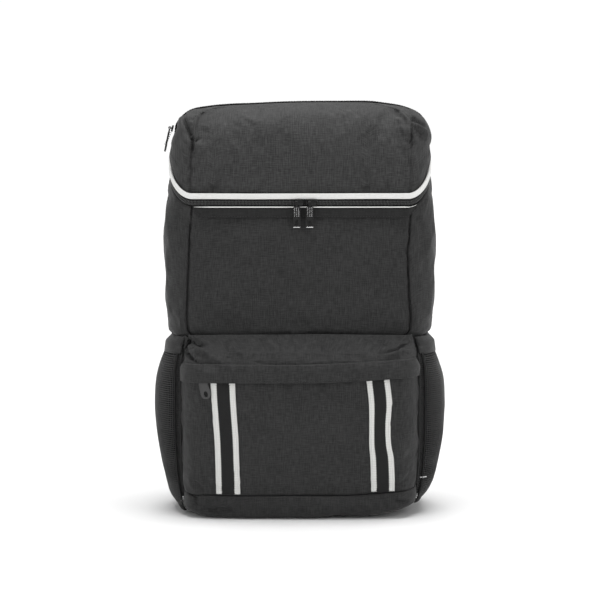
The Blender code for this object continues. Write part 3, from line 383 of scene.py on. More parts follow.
class Wardrobe:
    """Every finish of the bag, built once."""

    def __init__(self) -> None:
        """Build the finishes."""
        # Coated ripstop: the coating gives a soft sheen, the slubs a streaky melange
        self.cloth = RipstopCloth("ripstop_polyester", "161616", "313131").make()
        # The same cloth on the lid, in lighter colours: painted light for the stronger light that falls on
        # the lid's upper slopes
        self.lid_cloth_painted_light = RipstopCloth("ripstop_polyester_lid_painted_light", "1d1d1d", "3c3c3c", relief=0.4).make()
        # Plain coated taffeta beside the zip: smooth, fine weave, black
        self.facing = RipstopCloth("coated_taffeta", "0f0f0f", "222222", grid=1.1 * MM, relief=0.2).make()
        # Vinyl-coated white piping: bright, slightly soft gloss
        self.piping = PlainFinish("white_vinyl_piping", "dadad8", 0.42, grain=2.5 * MM, relief=0.1).make()
        # Woven grosgrain ribbon, white edges on black
        edges = {"stripe": "d6d6d3", "stripe_edge": 7.3 * MM, "rib": 2.6 * MM}
        self.ribbon = Webbing("striped_grosgrain", "131313", **edges).make()
        # Plain black strap webbing, coarse ribs
        self.webbing = Webbing("black_polypropylene_webbing", "1c1c1c").make()
        # Knitted zip tape, finer ribs than the webbing
        self.tape = Webbing("zip_tape_polyester", "181818", rib=0.9 * MM, relief=0.4).make()
        # Nylon coil: glossy monofilament
        self.coil = PlainFinish("nylon_zip_coil", "4a4a4a", 0.34, grain=0.8 * MM).make()
        # Knitted polyester net: matt dark grey yarn
        yarn = {"grain": 0.6 * MM, "relief": 0.5, "sheen": 0.1}
        self.net = PlainFinish("knitted_polyester_net", "303030", 0.8, **yarn).make()
        # Spacer mesh of the back and the straps: matt, full of small holes with painted shade in each
        self.spacer = SpacerMesh("polyester_spacer_mesh", "2a2a2a", "0c0c0c").make()
        # Black electroplated zinc: dark and shiny; a light copy of it paints the highlights on the pulls'
        # rims and studs
        self.metal = PlainFinish("black_plated_zinc", "2a2a2a", 0.24, metallic=0.95, grain=1.5 * MM).make()
        self.bright = PlainFinish("zinc_painted_highlight", "d8d8d8", 0.22, metallic=1.0, grain=1.5 * MM).make()
        # Moulded soft plastic of the pocket's pull: dark grey, glossy
        self.rubber = PlainFinish("dark_grey_moulded_pvc", "303030", 0.3, grain=0.9 * MM).make()
        # Injection-moulded acetal: satin black with a spark-eroded grain
        self.acetal = PlainFinish("black_acetal", "151515", 0.42, grain=0.5 * MM, relief=0.3).make()
        # Sewing threads: black for the cloth, light grey on the ribbons' white edges
        self.thread = PlainFinish("bonded_nylon_thread", "1d1d1d", 0.55, grain=0.4 * MM, relief=0.4).make()
        self.light_thread = PlainFinish("grey_nylon_thread", "bdbdbd", 0.6, grain=0.4 * MM).make()


# Shape of the bag


@dataclass
class Plan:
    """Rounded plan outline at one or more heights; every field may be an array."""

    half: np.ndarray
    front: np.ndarray
    back: np.ndarray
    front_corner: np.ndarray
    back_corner: np.ndarray
    front_bow: np.ndarray
    side_bow: np.ndarray


@dataclass
class Stations:
    """Places round an outline: the side, the edge and the share of the way along it."""

    side: np.ndarray
    edge: np.ndarray
    share: np.ndarray

    def pick(self, start: int, end: int) -> "Stations":
        """Stations from one index to another."""
        return Stations(self.side[start:end], self.edge[start:end], self.share[start:end])

    def on(self, edge: Edge, share: float) -> np.ndarray:
        """Which stations lie at one share of an edge."""
        return (self.edge == edge.value) & (self.share == share)


EDGE_SHARES: dict[Edge, np.ndarray] = {
    Edge.BACK: np.linspace(0, 1, 16),
    Edge.BACK_CORNER: np.linspace(0, 1, 9),
    Edge.SIDE: np.linspace(0, 1, 34),
    Edge.FRONT_CORNER: np.concatenate([np.linspace(0, 0.93, 15), [0.953, 0.970, 0.985, 1.0]]),
    Edge.FRONT: np.concatenate([[0.0, 0.007, 0.014, 0.022, 0.032, 0.045], np.linspace(0.060, 1, 62)]),
}


def half_stations(side: int, edges: Sequence[Edge]) -> Stations:
    """Stations of one half along some edges.

    Args:
        side: -1 for the left half and 1 for the right.
        edges: Edges in order from the back.

    Returns:
        The stations, both ends included.
    """
    marks, shares = [], []
    for i, edge in enumerate(edges):
        own = EDGE_SHARES[edge][0 if i == 0 else 1 :]
        marks += [edge.value] * len(own)
        shares += list(own)
    return Stations(np.full(len(marks), float(side)), np.array(marks), np.array(shares))


def front_stations(edges: Sequence[Edge]) -> Stations:
    """Stations from the left end of some edges, round the front, to their right end."""
    left, right = half_stations(-1, edges), half_stations(1, edges)
    return Stations(
        np.concatenate([left.side, right.side[-2::-1]]),
        np.concatenate([left.edge, right.edge[-2::-1]]),
        np.concatenate([left.share, right.share[-2::-1]]),
    )


def ring_stations() -> Stations:
    """Stations of the closed outline: back middle, left side, front middle, right side."""
    run = front_stations(tuple(Edge))
    return run.pick(0, len(run.side) - 1)


def outline(plan: Plan, at: Stations, inset: float | np.ndarray = 0.0) -> tuple[np.ndarray, np.ndarray]:
    """Plan points of stations on an outline.

    Args:
        plan: The outline, its fields shaped to broadcast with the stations.
        at: The stations.
        inset: Distance inwards.

    Returns:
        X and Y.
    """
    half, front, back = plan.half - inset, plan.front + inset, plan.back - inset
    fr = np.maximum(plan.front_corner - inset, 0.0005)
    br = np.maximum(plan.back_corner - inset, 0.0005)
    s = at.share
    sin, cos = np.sin(s * math.pi / 2), np.cos(s * math.pi / 2)
    cases = [at.edge == e.value for e in (Edge.BACK, Edge.BACK_CORNER, Edge.SIDE, Edge.FRONT_CORNER)]
    xs = [
        s * (half - br),
        half - br + br * sin,
        half + plan.side_bow * 4 * s * (1 - s),
        half - fr + fr * cos,
    ]
    ys = [
        back + 0 * s,
        back - br + br * cos,
        back - br + s * (front + fr - back + br),
        front + fr - fr * sin,
    ]
    x = np.select(cases, np.broadcast_arrays(*xs), (1 - s) * (half - fr))
    y = np.select(cases, np.broadcast_arrays(*ys), front - plan.front_bow * (1 - (1 - s) ** 2))
    return at.side * x, y


def eased(table: Sequence[Sequence[float]], key: np.ndarray, column: int) -> np.ndarray:
    """Value of a table's column at a key, eased between its rows as in the CAD.

    Args:
        table: Rows whose first value is the key.
        key: Where to read.
        column: Which value to read.

    Returns:
        The values, shaped as the key.
    """
    rows = np.array(table)
    keys = rows[:, 0]
    key = np.clip(key, keys[0], keys[-1])
    low = np.clip(np.searchsorted(keys, key, side="right") - 1, 0, len(keys) - 2)
    share = (key - keys[low]) / (keys[low + 1] - keys[low])
    share = 0.5 * share + 0.5 * share * share * (3 - 2 * share)
    return rows[low, column] + (rows[low + 1, column] - rows[low, column]) * share


def superellipse(rise: np.ndarray, power: float) -> np.ndarray:
    """How wide a rounded profile still is at a share of its height."""
    return np.maximum(1 - np.clip(rise, 0.0, 1.0) ** power, 0.0) ** (1 / power)


@dataclass(frozen=True)
class BagForm:
    """The bag's sizes and the surfaces that its cloth follows."""

    height: float = 0.440
    body_width: float = 0.290
    body_depth: float = 0.122
    back_y: float = 0.072
    front_y: float = -0.050
    front_corner: float = 0.029
    back_corner: float = 0.018
    front_bow: float = 0.003
    side_bow: float = 0.002
    floor: float = 0.005
    bottom_round: float = 0.008
    lip: float = 0.025
    lip_rise: float = 0.010
    zip_front: float = 0.336
    zip_back: float = 0.385
    zip_climb: float = 4.5
    zip_chain: float = 0.0064
    piping: float = 0.0062
    piping_out: float = 0.0024
    lid_width: float = 0.281
    lid_widest: float = 0.387
    lid_crown_y: float = 0.018
    lid_corner: float = 0.026
    lid_flat: float = 0.001
    pocket_width: float = 0.250
    pocket_depth: float = 0.034
    pocket_top: float = 0.193
    pocket_corner: float = 0.022
    pocket_bow: float = 0.003
    flap_low: float = 0.1457
    flap_height: float = 0.0193
    flap_rise: float = 0.006
    mesh_back_y: float = 0.050
    mesh_low: float = 0.0045
    hem_top: float = 0.185
    hem_height: float = 0.0125
    hem_out: float = 0.144
    # Left shoulder of the lid: how far it sags, where, how wide, and from which height up
    sag: float = 0.0030
    sag_x: float = -0.078
    sag_reach: float = 0.050
    sag_from: float = 0.395
    sag_rise: float = 0.045
    # Low end of the cloths over the sides, and how they draw in near the floor
    cover_foot: float = 0.0354
    cover_tuck: float = 2.6 * MM
    cover_tuck_top: float = 0.034
    cover_tuck_rise: float = 0.016
    # Share of the height, then shares of the width, the corner and the depth
    body_rows: tuple = (
        (0.000, 0.850, 0.95, 0.040),
        (0.035, 0.885, 0.95, 0.030),
        (0.080, 0.915, 0.95, 0.020),
        (0.200, 0.925, 0.95, 0.015),
        (0.426, 0.925, 0.95, 0.010),
        (0.448, 0.970, 1.00, 0.004),
        (0.490, 0.988, 1.00, 0.000),
        (0.560, 1.000, 1.00, 0.000),
        (0.670, 1.000, 1.00, 0.000),
        (0.730, 0.985, 0.96, 0.010),
        (0.780, 0.968, 0.91, 0.020),
        (0.840, 0.950, 0.89, 0.025),
        (1.000, 0.940, 0.88, 0.030),
    )
    # Share of the height, then shares of the depth and the width
    pocket_rows: tuple = (
        (0.00, 0.88, 0.985),
        (0.12, 0.96, 0.995),
        (0.35, 1.00, 1.000),
        (0.80, 1.00, 1.000),
        (0.85, 0.97, 0.990),
        (0.90, 0.82, 0.980),
        (0.95, 0.52, 0.965),
        (1.00, 0.16, 0.950),
    )
    # Share of the height, then the reach of the net as a share of half the body's width
    net_left: tuple = (
        (0.000, 0.915),
        (0.056, 0.968),
        (0.120, 0.993),
        (0.187, 1.012),
        (0.253, 1.031),
        (0.320, 1.047),
        (0.400, 1.063),
        (0.500, 1.078),
        (0.640, 1.088),
        (0.800, 1.078),
        (0.910, 1.048),
        (1.000, 1.008),
    )
    net_right: tuple = (
        (0.000, 0.905),
        (0.040, 0.958),
        (0.100, 0.998),
        (0.160, 1.021),
        (0.230, 1.038),
        (0.300, 1.055),
        (0.370, 1.070),
        (0.450, 1.082),
        (0.560, 1.088),
        (0.640, 1.088),
        (0.800, 1.075),
        (0.920, 1.036),
        (1.000, 1.003),
    )

    def body_plan(self, z: np.ndarray) -> Plan:
        """Plan outline of the main compartment at heights."""
        key = np.asarray(z) / self.height
        return Plan(
            self.body_width / 2 * eased(self.body_rows, key, 1),
            self.front_y + self.body_depth * eased(self.body_rows, key, 3),
            np.full_like(key, self.back_y),
            self.front_corner * eased(self.body_rows, key, 2),
            np.full_like(key, self.back_corner),
            np.full_like(key, self.front_bow),
            np.full_like(key, self.side_bow),
        )

    def body(self, at: Stations, z: np.ndarray, inset: float = 0.0) -> np.ndarray:
        """Points of the main compartment's cloth.

        Args:
            at: Stations, one a column.
            z: Heights, broadcast with the stations.
            inset: Distance inwards.

        Returns:
            Points, with X, Y and Z last.
        """
        z = np.broadcast_to(z, np.broadcast(z, at.share).shape)
        lift = self.bottom_round - np.clip(z - self.floor - GAP, 0.0, self.bottom_round)
        tuck = self.bottom_round - np.sqrt(self.bottom_round**2 - lift**2)
        x, y = outline(self.body_plan(z), at, inset + tuck)
        return np.stack([x, y, z], axis=-1)

    def zip_line(self, at: Stations) -> np.ndarray:
        """Height of the zip line at stations: it climbs with the distance from the front.

        Args:
            at: The stations.

        Returns:
            The heights.
        """
        plan = self.body_plan(np.full(at.share.shape, self.zip_front))
        _, y = outline(plan, at)
        depth = np.maximum(y - plan.front, 0.0) / self.body_depth
        return self.zip_front + (self.zip_back - self.zip_front) * (1 - np.exp(-self.zip_climb * depth))

    def lid_sag(self, point: np.ndarray) -> np.ndarray:
        """How far the lid's left shoulder hangs below its right one."""
        top = np.clip((point[..., 2] - self.sag_from) / self.sag_rise, 0.0, 1.0)
        return self.sag * np.exp(-(((point[..., 0] - self.sag_x) / self.sag_reach) ** 2)) * top

    def lid(self, at: Stations, share: np.ndarray, inset: float = 0.0) -> np.ndarray:
        """Points of the lid from its rim, over the walls, to its crown.

        Args:
            at: Stations, one a column.
            share: Shares of the way up, broadcast with the stations.
            inset: Distance inwards.

        Returns:
            Points, with X, Y and Z last.
        """
        rim = self.zip_line(at) + self.piping + 2 * GAP
        z = rim + share * (self.height - rim)
        crown = self.height + self.lid_flat
        rise = (z - self.lid_widest) / (crown - self.lid_widest)
        tuck = 0.0045 * np.exp(-(((z - 0.411) / 0.016) ** 2)) * (at.side < 0)
        low, back_low = self.zip_front + self.piping, self.zip_back + self.piping
        front = superellipse((z - low) / (crown - low), 2.4)
        back = superellipse((z - back_low) / (crown - back_low), 3.0)
        top = np.clip((z - self.lid_widest) / (self.height - self.lid_widest), 0.0, 1.0)
        zip_front = float(self.body_plan(np.array(self.zip_front)).front)
        dome = Plan(
            self.lid_width / 2 * superellipse(rise, 4.0) - tuck,
            self.lid_crown_y - (self.lid_crown_y - zip_front) * front,
            self.lid_crown_y + (self.back_y - self.lid_crown_y) * back,
            self.lid_corner * (1 - 0.5 * top),
            self.back_corner * (1 - 0.3 * top),
            self.front_bow * (1 - top),
            self.side_bow * (1 - top),
        )
        x0, y0 = outline(self.body_plan(np.broadcast_to(rim, z.shape)), at, inset + 0.0015)
        x1, y1 = outline(dome, at, inset)
        leave = np.minimum(share * 4, 1.0)
        leave = leave * (2 - leave)
        made = np.stack([x0 + (x1 - x0) * leave, y0 + (y1 - y0) * leave, z], axis=-1)
        made[..., 2] -= self.lid_sag(made)
        return made

    def lip_top(self, x: np.ndarray, y: np.ndarray) -> np.ndarray:
        """Top of the base panel's lip: it climbs to the right and ends at the sides.

        Args:
            x: X of the points.
            y: Y of the points.

        Returns:
            The heights.
        """
        corner = self.front_y - self.pocket_depth * 0.88 + self.pocket_corner
        rise = np.clip(1 - (corner - y) / self.pocket_corner, 0.0, 1.0)
        climb = 0.0055 * np.clip((x - 0.045) / 0.080, 0.0, 1.0) ** 1.4
        lip = self.lip + climb + self.lip_rise * rise * rise * np.where(x > 0, 0.6, 1.0)
        fall = np.clip((y - corner) / (self.front_y - corner), 0.0, 1.0)
        return lip + (self.floor - lip) * fall

    def corner_lift(self, points: np.ndarray) -> np.ndarray:
        """How far the low edge rises in front: at both corners and a little all along the right.

        Args:
            points: Rows of points.

        Returns:
            The rise at each point.
        """
        x, y = points[..., 0], points[..., 1]
        # Each corner starts to rise at its own distance from the middle, the slack near it
        left = np.clip((-x - 0.088) / 0.036, 0.0, 1.0)
        right = np.clip((x - 0.070) / 0.052, 0.0, 1.0)
        slack = np.clip((x - 0.010) / 0.030, 0.0, 1.0)
        fade = np.clip(-y / 0.040, 0.0, 1.0)
        return (0.007 * left**1.6 + 0.010 * right**1.6 + 0.0028 * slack) * fade

    def pocket_plan(self, share: np.ndarray) -> Plan:
        """Plan outline of the front pocket at height shares.

        Args:
            share: Shares of the height.

        Returns:
            The outline.
        """
        share = np.asarray(share, dtype=float)
        depth = self.pocket_depth * eased(self.pocket_rows, share, 1)
        return Plan(
            self.pocket_width / 2 * eased(self.pocket_rows, share, 2),
            self.front_y - depth,
            np.full_like(share, self.front_y),
            np.minimum(self.pocket_corner, depth * 0.9),
            np.full_like(share, 0.001),
            self.front_bow + self.pocket_bow * depth / self.pocket_depth,
            np.zeros_like(share),
        )

    def pocket_root(self, share: np.ndarray) -> np.ndarray:
        """Y where the pocket's sides meet the compartment's rounded corners.

        Args:
            share: Shares of the height.

        Returns:
            The Y of each share.
        """
        low = self.floor + self.bottom_round
        plan = self.body_plan(low + share * (self.pocket_top - low))
        x = self.pocket_plan(share).half - 0.002
        across = np.clip((x - plan.half + plan.front_corner) / plan.front_corner, 0.0, 1.0)
        return plan.front + plan.front_corner * (1 - np.sqrt(1 - across**2)) - 0.001

    def pocket(self, at: Stations, share: np.ndarray) -> np.ndarray:
        """Points of the front pocket from its foot, on the base panel's lip, to its top.

        Args:
            at: The stations.
            share: Shares of the height.

        Returns:
            Points, with X, Y and Z last.
        """
        share = np.broadcast_to(share, np.broadcast(share, at.share).shape)
        foot = self.pocket_plan(np.zeros_like(share))
        foot_x, foot_y = outline(foot, at)
        sides = at.edge == Edge.SIDE.value
        foot_root = self.pocket_root(np.zeros_like(share))
        foot_corner = foot.front + foot.front_corner
        foot_y = np.where(sides, foot_root + at.share * (foot_corner - foot_root), foot_y)
        low = self.lip_top(foot_x, foot_y) + GAP
        z = low + share * (self.pocket_top - low)
        plan = self.pocket_plan(share)
        x, y = outline(plan, at)
        root = self.pocket_root(share)
        y = np.where(sides, root + at.share * (plan.front + plan.front_corner - root), y)
        return np.stack([x, y, z], axis=-1)

    def side_cover(
        self, side: int, depth: np.ndarray, z: np.ndarray, reach: np.ndarray, thick: float
    ) -> np.ndarray:
        """Points of a cloth over the side, from its seam on the front pocket to its back seam.

        Args:
            side: -1 for the left and 1 for the right.
            depth: Shares of the way back.
            z: Heights.
            reach: How far out it swells.
            thick: Its thickness.

        Returns:
            Points, with X, Y and Z last.
        """
        rise = (z - self.cover_foot) / (self.pocket_top - self.cover_foot)
        plan = self.pocket_plan(np.clip(rise, 0.0, 1.0))
        # Near the floor the front edge draws in behind the base's rounded corner
        near_floor = np.clip((self.cover_tuck_top - z) / self.cover_tuck_rise, 0.0, 1.0)
        front_x = plan.half + 2 * GAP + thick - self.cover_tuck * near_floor
        front_y = plan.front + plan.front_corner
        body = self.body_plan(z)
        back_y = body.back - body.back_corner
        seam = (back_y - self.mesh_back_y) / (back_y - body.front - body.front_corner)
        bulge = body.half + body.side_bow * 4 * seam * (1 - seam)
        back_x = np.maximum(bulge + GAP, front_x) + GAP + thick
        # The cloth swells between its seams, and blends from one seam's line to the other's
        swell = np.sin(math.pi * np.minimum(depth * 1.02, 1.0)) ** 0.55
        base_x = front_x + (back_x - front_x) * np.minimum(depth * 2.2, 1.0)
        x = base_x + np.maximum(reach - base_x, 0.0) * swell
        y = front_y + depth * (self.mesh_back_y - front_y)
        return np.stack(np.broadcast_arrays(side * x, y, z), -1)


@dataclass(frozen=True)
class Crease:
    """A fold pressed into cloth along a line, in millimetres as seen from its side."""

    x0: float
    z0: float
    x1: float
    z1: float
    width: float
    depth: float
    facing: Facing = Facing.FRONT


def seen_from(points: np.ndarray, normals: np.ndarray, facing: Facing) -> tuple[np.ndarray, np.ndarray]:
    """Across coordinate and how squarely a surface faces a side.

    Args:
        points: Rows of points.
        normals: One normal a point.
        facing: The side it is seen from.

    Returns:
        The coordinate across, and weights from 0 to 1.
    """
    if facing is Facing.FRONT:
        return points[..., 0], np.clip(-normals[..., 1] * 2.5 + 0.3, 0.0, 1.0)
    sign = -1.0 if facing is Facing.LEFT else 1.0
    return points[..., 1], np.clip(sign * normals[..., 0] * 2.5, 0.0, 1.0)


def grid_normals(points: np.ndarray, closed: bool) -> np.ndarray:
    """Outward unit normals of a grid whose columns run to the right seen from outside.

    Args:
        points: Rows of points.
        closed: Whether the last column joins the first.

    Returns:
        One normal a point.
    """
    if closed:
        wide = np.concatenate([points[:, -1:], points, points[:, :1]], axis=1)
        across = wide[:, 2:] - wide[:, :-2]
    else:
        across = np.gradient(points, axis=1)
    up = np.gradient(points, axis=0)
    normal = np.cross(across, up)
    length = np.linalg.norm(normal, axis=-1, keepdims=True)
    return normal / np.maximum(length, 1e-12)


def noise_field(points: np.ndarray, scale: tuple[float, float, float], seed: float) -> np.ndarray:
    """Smooth noise from -1 to 1 over points.

    Args:
        points: The points.
        scale: Repeats per metre along X, Y and Z.
        seed: Which noise.

    Returns:
        One value a point.
    """
    flat = points.reshape(-1, 3) * np.array(scale) + seed * 17.31
    values = [noise.noise(Vector(p)) for p in flat]
    return np.array(values).reshape(points.shape[:-1])


def press(points: np.ndarray, creases: Sequence[Crease], closed: bool = False) -> np.ndarray:
    """Press folds into a grid of points.

    Args:
        points: Rows of points.
        creases: The folds; a negative depth is a ridge.
        closed: Whether the last column joins the first.

    Returns:
        The pressed points.
    """
    normals = grid_normals(points, closed)
    moved = np.zeros(points.shape[:-1])
    for crease in creases:
        across, weight = seen_from(points, normals, crease.facing)
        start = np.array([crease.x0, crease.z0]) * MM
        span = np.array([crease.x1, crease.z1]) * MM - start
        place = np.stack([across, points[..., 2]], axis=-1) - start
        along = np.clip(place @ span / max(span @ span, 1e-12), 0.0, 1.0)
        away = np.linalg.norm(place - along[..., None] * span, axis=-1) / (crease.width * MM)
        fade = 1 - 0.55 * np.abs(2 * along - 1) ** 2
        moved += FOLD_GAIN * crease.depth * MM * np.exp(-(away**2)) * fade * weight
    return points - normals * moved[..., None]


def rumple(
    points: np.ndarray, layers: Sequence[tuple[float, float, float]], seed: float, closed: bool = False
) -> np.ndarray:
    """Give cloth soft unevenness.

    Args:
        points: Rows of points.
        layers: Wavelength across, wavelength up and height, in millimetres.
        seed: Which noise.
        closed: Whether the last column joins the first.

    Returns:
        The moved points.
    """
    normals = grid_normals(points, closed)
    moved = np.zeros(points.shape[:-1])
    for i, (across, up, height) in enumerate(layers):
        scale = (1 / (across * MM), 1 / (across * MM), 1 / (up * MM))
        moved += height * MM * noise_field(points, scale, seed + i)
    return points + normals * moved[..., None]


# Cloth simulation


def blurred(values: np.ndarray, reach: int) -> np.ndarray:
    """Average a field over a square window of its grid, held at the borders."""
    for axis in (0, 1):
        pad = [(reach, reach) if a == axis else (0, 0) for a in range(3)]
        summed = np.cumsum(np.pad(values, pad, mode="edge"), axis=axis)
        high = np.take(summed, range(2 * reach, summed.shape[axis]), axis=axis)
        low = np.take(summed, range(0, summed.shape[axis] - 2 * reach), axis=axis)
        values = (high - low) / (2 * reach)
    return values


def regrid(values: np.ndarray, rows: np.ndarray, cols: np.ndarray, shape: tuple[int, int]) -> np.ndarray:
    """Spread a coarse grid's field over the fine grid it was picked from.

    Args:
        values: Field of the coarse grid.
        rows: Fine rows that the coarse ones stand for.
        cols: Fine columns that the coarse ones stand for.
        shape: Rows and columns of the fine grid.

    Returns:
        The field of the fine grid.
    """
    all_rows, all_cols = np.arange(shape[0]), np.arange(shape[1])
    made = np.empty((*shape, values.shape[-1]))
    for axis in range(values.shape[-1]):
        tall = np.array([np.interp(all_rows, rows, column) for column in values[..., axis].T]).T
        made[..., axis] = np.array([np.interp(all_cols, cols, row) for row in tall])
    return made


@dataclass(frozen=True)
class ClothRun:
    """Cloth simulation of a sewn panel: its cloth is a little too large for its seams."""

    frames: int = 20
    quality: int = 5
    mass: float = 0.2
    pressure: float = 4.0
    # Share by which the cloth is too large
    slack: float = 0.035
    stretch: float = 12.0
    shear: float = 4.0
    bending: float = 0.08
    # Furthest that a point may move
    cap: float = 1.6 * MM
    # Reach of the average that is taken off, in coarse points: only wrinkles shorter stay
    window: int = 7
    # Every how many points of the grid take part
    step: int = 2

    def wrinkle(self, points: np.ndarray, held: np.ndarray, closed: bool = False) -> np.ndarray:
        """Let a grid of cloth settle between its seams and keep the wrinkles that form.

        Args:
            points: Rows of points.
            held: Which points are sewn fast.
            closed: Whether the last column joins the first.
        """
        rows = np.unique(np.append(np.arange(0, points.shape[0], self.step), points.shape[0] - 1))
        cols = np.unique(np.append(np.arange(0, points.shape[1], self.step), points.shape[1] - 1))
        coarse, fast = points[rows][:, cols], held[rows][:, cols]
        mesh = bpy.data.meshes.new("cloth_run")
        faces = grid_faces(len(rows), len(cols), closed)
        mesh.from_pydata([tuple(p) for p in coarse.reshape(-1, 3)], [], faces)
        made = bpy.data.objects.new("cloth_run", mesh)
        scene = bpy.context.scene
        scene.collection.objects.link(made)
        group = made.vertex_groups.new(name="sewn")
        group.add([int(i) for i in np.where(fast.ravel())[0]], 1.0, "REPLACE")
        cloth = made.modifiers.new("cloth", "CLOTH")
        settings = cloth.settings
        settings.vertex_group_mass = group.name
        settings.quality = self.quality
        settings.mass = self.mass
        settings.tension_stiffness = settings.compression_stiffness = self.stretch
        settings.shear_stiffness = self.shear
        settings.bending_stiffness = self.bending
        settings.shrink_min = -self.slack
        settings.use_pressure = True
        settings.uniform_pressure_force = self.pressure
        settings.effector_weights.gravity = 0.0
        cloth.point_cache.frame_start = 1
        cloth.point_cache.frame_end = self.frames
        for frame in range(1, self.frames + 1):
            scene.frame_set(frame)
        settled = made.evaluated_get(bpy.context.evaluated_depsgraph_get()).data
        places = np.empty(len(settled.vertices) * 3)
        settled.vertices.foreach_get("co", places)
        moved = places.reshape(coarse.shape) - coarse
        scene.frame_set(1)
        bpy.data.objects.remove(made)
        fine = moved - blurred(moved, self.window)
        length = np.linalg.norm(fine, axis=-1, keepdims=True)
        LOG.info("cloth run: wrinkles up to %.1f mm, capped", float(length.max()) / MM)
        fine *= np.tanh(length / self.cap) * self.cap / np.maximum(length, 1e-9)
        return points + regrid(fine, rows, cols, points.shape[:2])


# Meshes


def add_mesh(
    name: str, verts: np.ndarray, faces: Sequence[Sequence[int]], finish: bpy.types.Material
) -> bpy.types.Object:
    """Link a smooth-shaded mesh to the scene.

    Args:
        name: Name of the piece.
        verts: Its points.
        faces: Its faces.
        finish: Its material.

    Returns:
        The object.
    """
    mesh = bpy.data.meshes.new(name)
    mesh.from_pydata([tuple(v) for v in np.asarray(verts).reshape(-1, 3)], [], [tuple(f) for f in faces])
    mesh.materials.append(finish)
    mesh.shade_smooth()
    made = bpy.data.objects.new(name, mesh)
    bpy.context.scene.collection.objects.link(made)
    return made


def arc_lengths(points: np.ndarray, axis: int) -> np.ndarray:
    """Running length along an axis of a grid.

    Args:
        points: Rows of points.
        axis: 0 up the grid or 1 across it.

    Returns:
        The length at each point.
    """
    steps = np.linalg.norm(np.diff(points, axis=axis), axis=-1)
    pad = [(1, 0) if a == axis else (0, 0) for a in range(2)]
    return np.cumsum(np.pad(steps, pad), axis=axis)


def grid_faces(rows: int, cols: int, closed: bool) -> list[tuple[int, int, int, int]]:
    """Quads of a grid, facing outwards where its columns run to the right.

    Args:
        rows: Rows of the grid.
        cols: Columns of the grid.
        closed: Whether the last column joins the first.

    Returns:
        The quads.
    """
    faces = []
    for r in range(rows - 1):
        for c in range(cols if closed else cols - 1):
            d = (c + 1) % cols
            faces.append((r * cols + c, r * cols + d, (r + 1) * cols + d, (r + 1) * cols + c))
    return faces


def set_uv(made: bpy.types.Object, uv: np.ndarray, rows: int, cols: int, closed: bool) -> None:
    """Give a grid mesh its UV map, in metres.

    Args:
        made: The object.
        uv: U and V of each point.
        rows: Rows of the grid.
        cols: Columns of the grid.
        closed: Whether the last column joins the first.
    """
    layer = made.data.uv_layers.new(name="UVMap")
    corners = []
    for r in range(rows - 1):
        for c in range(cols if closed else cols - 1):
            corners += [uv[r, c], uv[r, c + 1], uv[r + 1, c + 1], uv[r + 1, c]]
    rest = len(layer.data) - len(corners)
    flat = np.concatenate([np.array(corners), np.zeros((rest, 2))]) if rest else np.array(corners)
    layer.data.foreach_set("uv", flat.astype(np.float32).ravel())


def sheet_mesh(
    name: str,
    points: np.ndarray,
    finish: bpy.types.Material,
    thick: float = 0.0,
    closed: bool = False,
    uv: np.ndarray | None = None,
    caps: bool = False,
) -> bpy.types.Object:
    """A sheet of cloth from a grid of its outer points.

    Args:
        name: Name of the piece.
        points: Rows of points, from the bottom up.
        finish: Its material.
        thick: Thickness, laid inwards.
        closed: Whether the last column joins the first.
        uv: UV map; worked out from the lengths if left out.
        caps: Whether to close the first and last rows.

    Returns:
        The object.
    """
    rows, cols = points.shape[:2]
    faces: list[tuple[int, ...]] = list(grid_faces(rows, cols, closed))
    if uv is None:
        wide = np.concatenate([points, points[:, :1]], axis=1) if closed else points
        along = arc_lengths(wide, 1)
        middle = along[rows // 2]
        uv = np.stack([np.broadcast_to(middle, along.shape), arc_lengths(wide, 0)], axis=-1)
    if caps:
        faces.append(tuple(range(cols))[::-1])
        faces.append(tuple((rows - 1) * cols + c for c in range(cols)))
    made = add_mesh(name, points, faces, finish)
    set_uv(made, uv, rows, cols, closed)
    if thick:
        wall = made.modifiers.new("thickness", "SOLIDIFY")
        wall.thickness = thick
        wall.offset = -1.0
        wall.use_even_offset = False
    return made


def tube_mesh(
    name: str,
    path: np.ndarray,
    outward: np.ndarray,
    wide: float | np.ndarray,
    thick: float | np.ndarray,
    finish: bpy.types.Material,
    power: float = 2.0,
    sides: int = 10,
) -> bpy.types.Object:
    """A cord, piping or strap: a rounded section swept along a path.

    Args:
        name: Name of the piece.
        path: Points of its middle line.
        outward: Direction of its thickness at each point.
        wide: Width, square to the path and the thickness.
        thick: Thickness.
        finish: Its material.
        power: Roundness of the section: 2 is an ellipse, more is boxier.
        sides: Points round the section.

    Returns:
        The object; its UV runs across from the middle and along the path.
    """
    count = len(path)
    along = np.gradient(path, axis=0)
    along /= np.maximum(np.linalg.norm(along, axis=1, keepdims=True), 1e-12)
    out = outward - along * np.sum(outward * along, axis=1, keepdims=True)
    out /= np.maximum(np.linalg.norm(out, axis=1, keepdims=True), 1e-12)
    across = np.cross(along, out)
    wide = np.broadcast_to(np.asarray(wide, dtype=float), (count,))
    thick = np.broadcast_to(np.asarray(thick, dtype=float), (count,))
    turn = np.arange(sides) / sides * 2 * math.pi + math.pi / sides
    c, s = np.cos(turn), np.sin(turn)
    a = np.sign(c) * np.abs(c) ** (2 / power)
    b = np.sign(s) * np.abs(s) ** (2 / power)
    flat = across[:, None] * (wide[:, None] / 2 * a)[..., None]
    deep = out[:, None] * (thick[:, None] / 2 * b)[..., None]
    ring = path[:, None] + flat + deep
    length = np.concatenate([[0.0], np.cumsum(np.linalg.norm(np.diff(path, axis=0), axis=1))])
    span = wide[:, None] / 2 * np.concatenate([a, a[:1]])
    uv = np.stack([span, np.broadcast_to(length[:, None], span.shape)], axis=-1)
    made = sheet_mesh(name, ring, finish, closed=True, uv=uv, caps=True)
    turned_right(made)
    return made


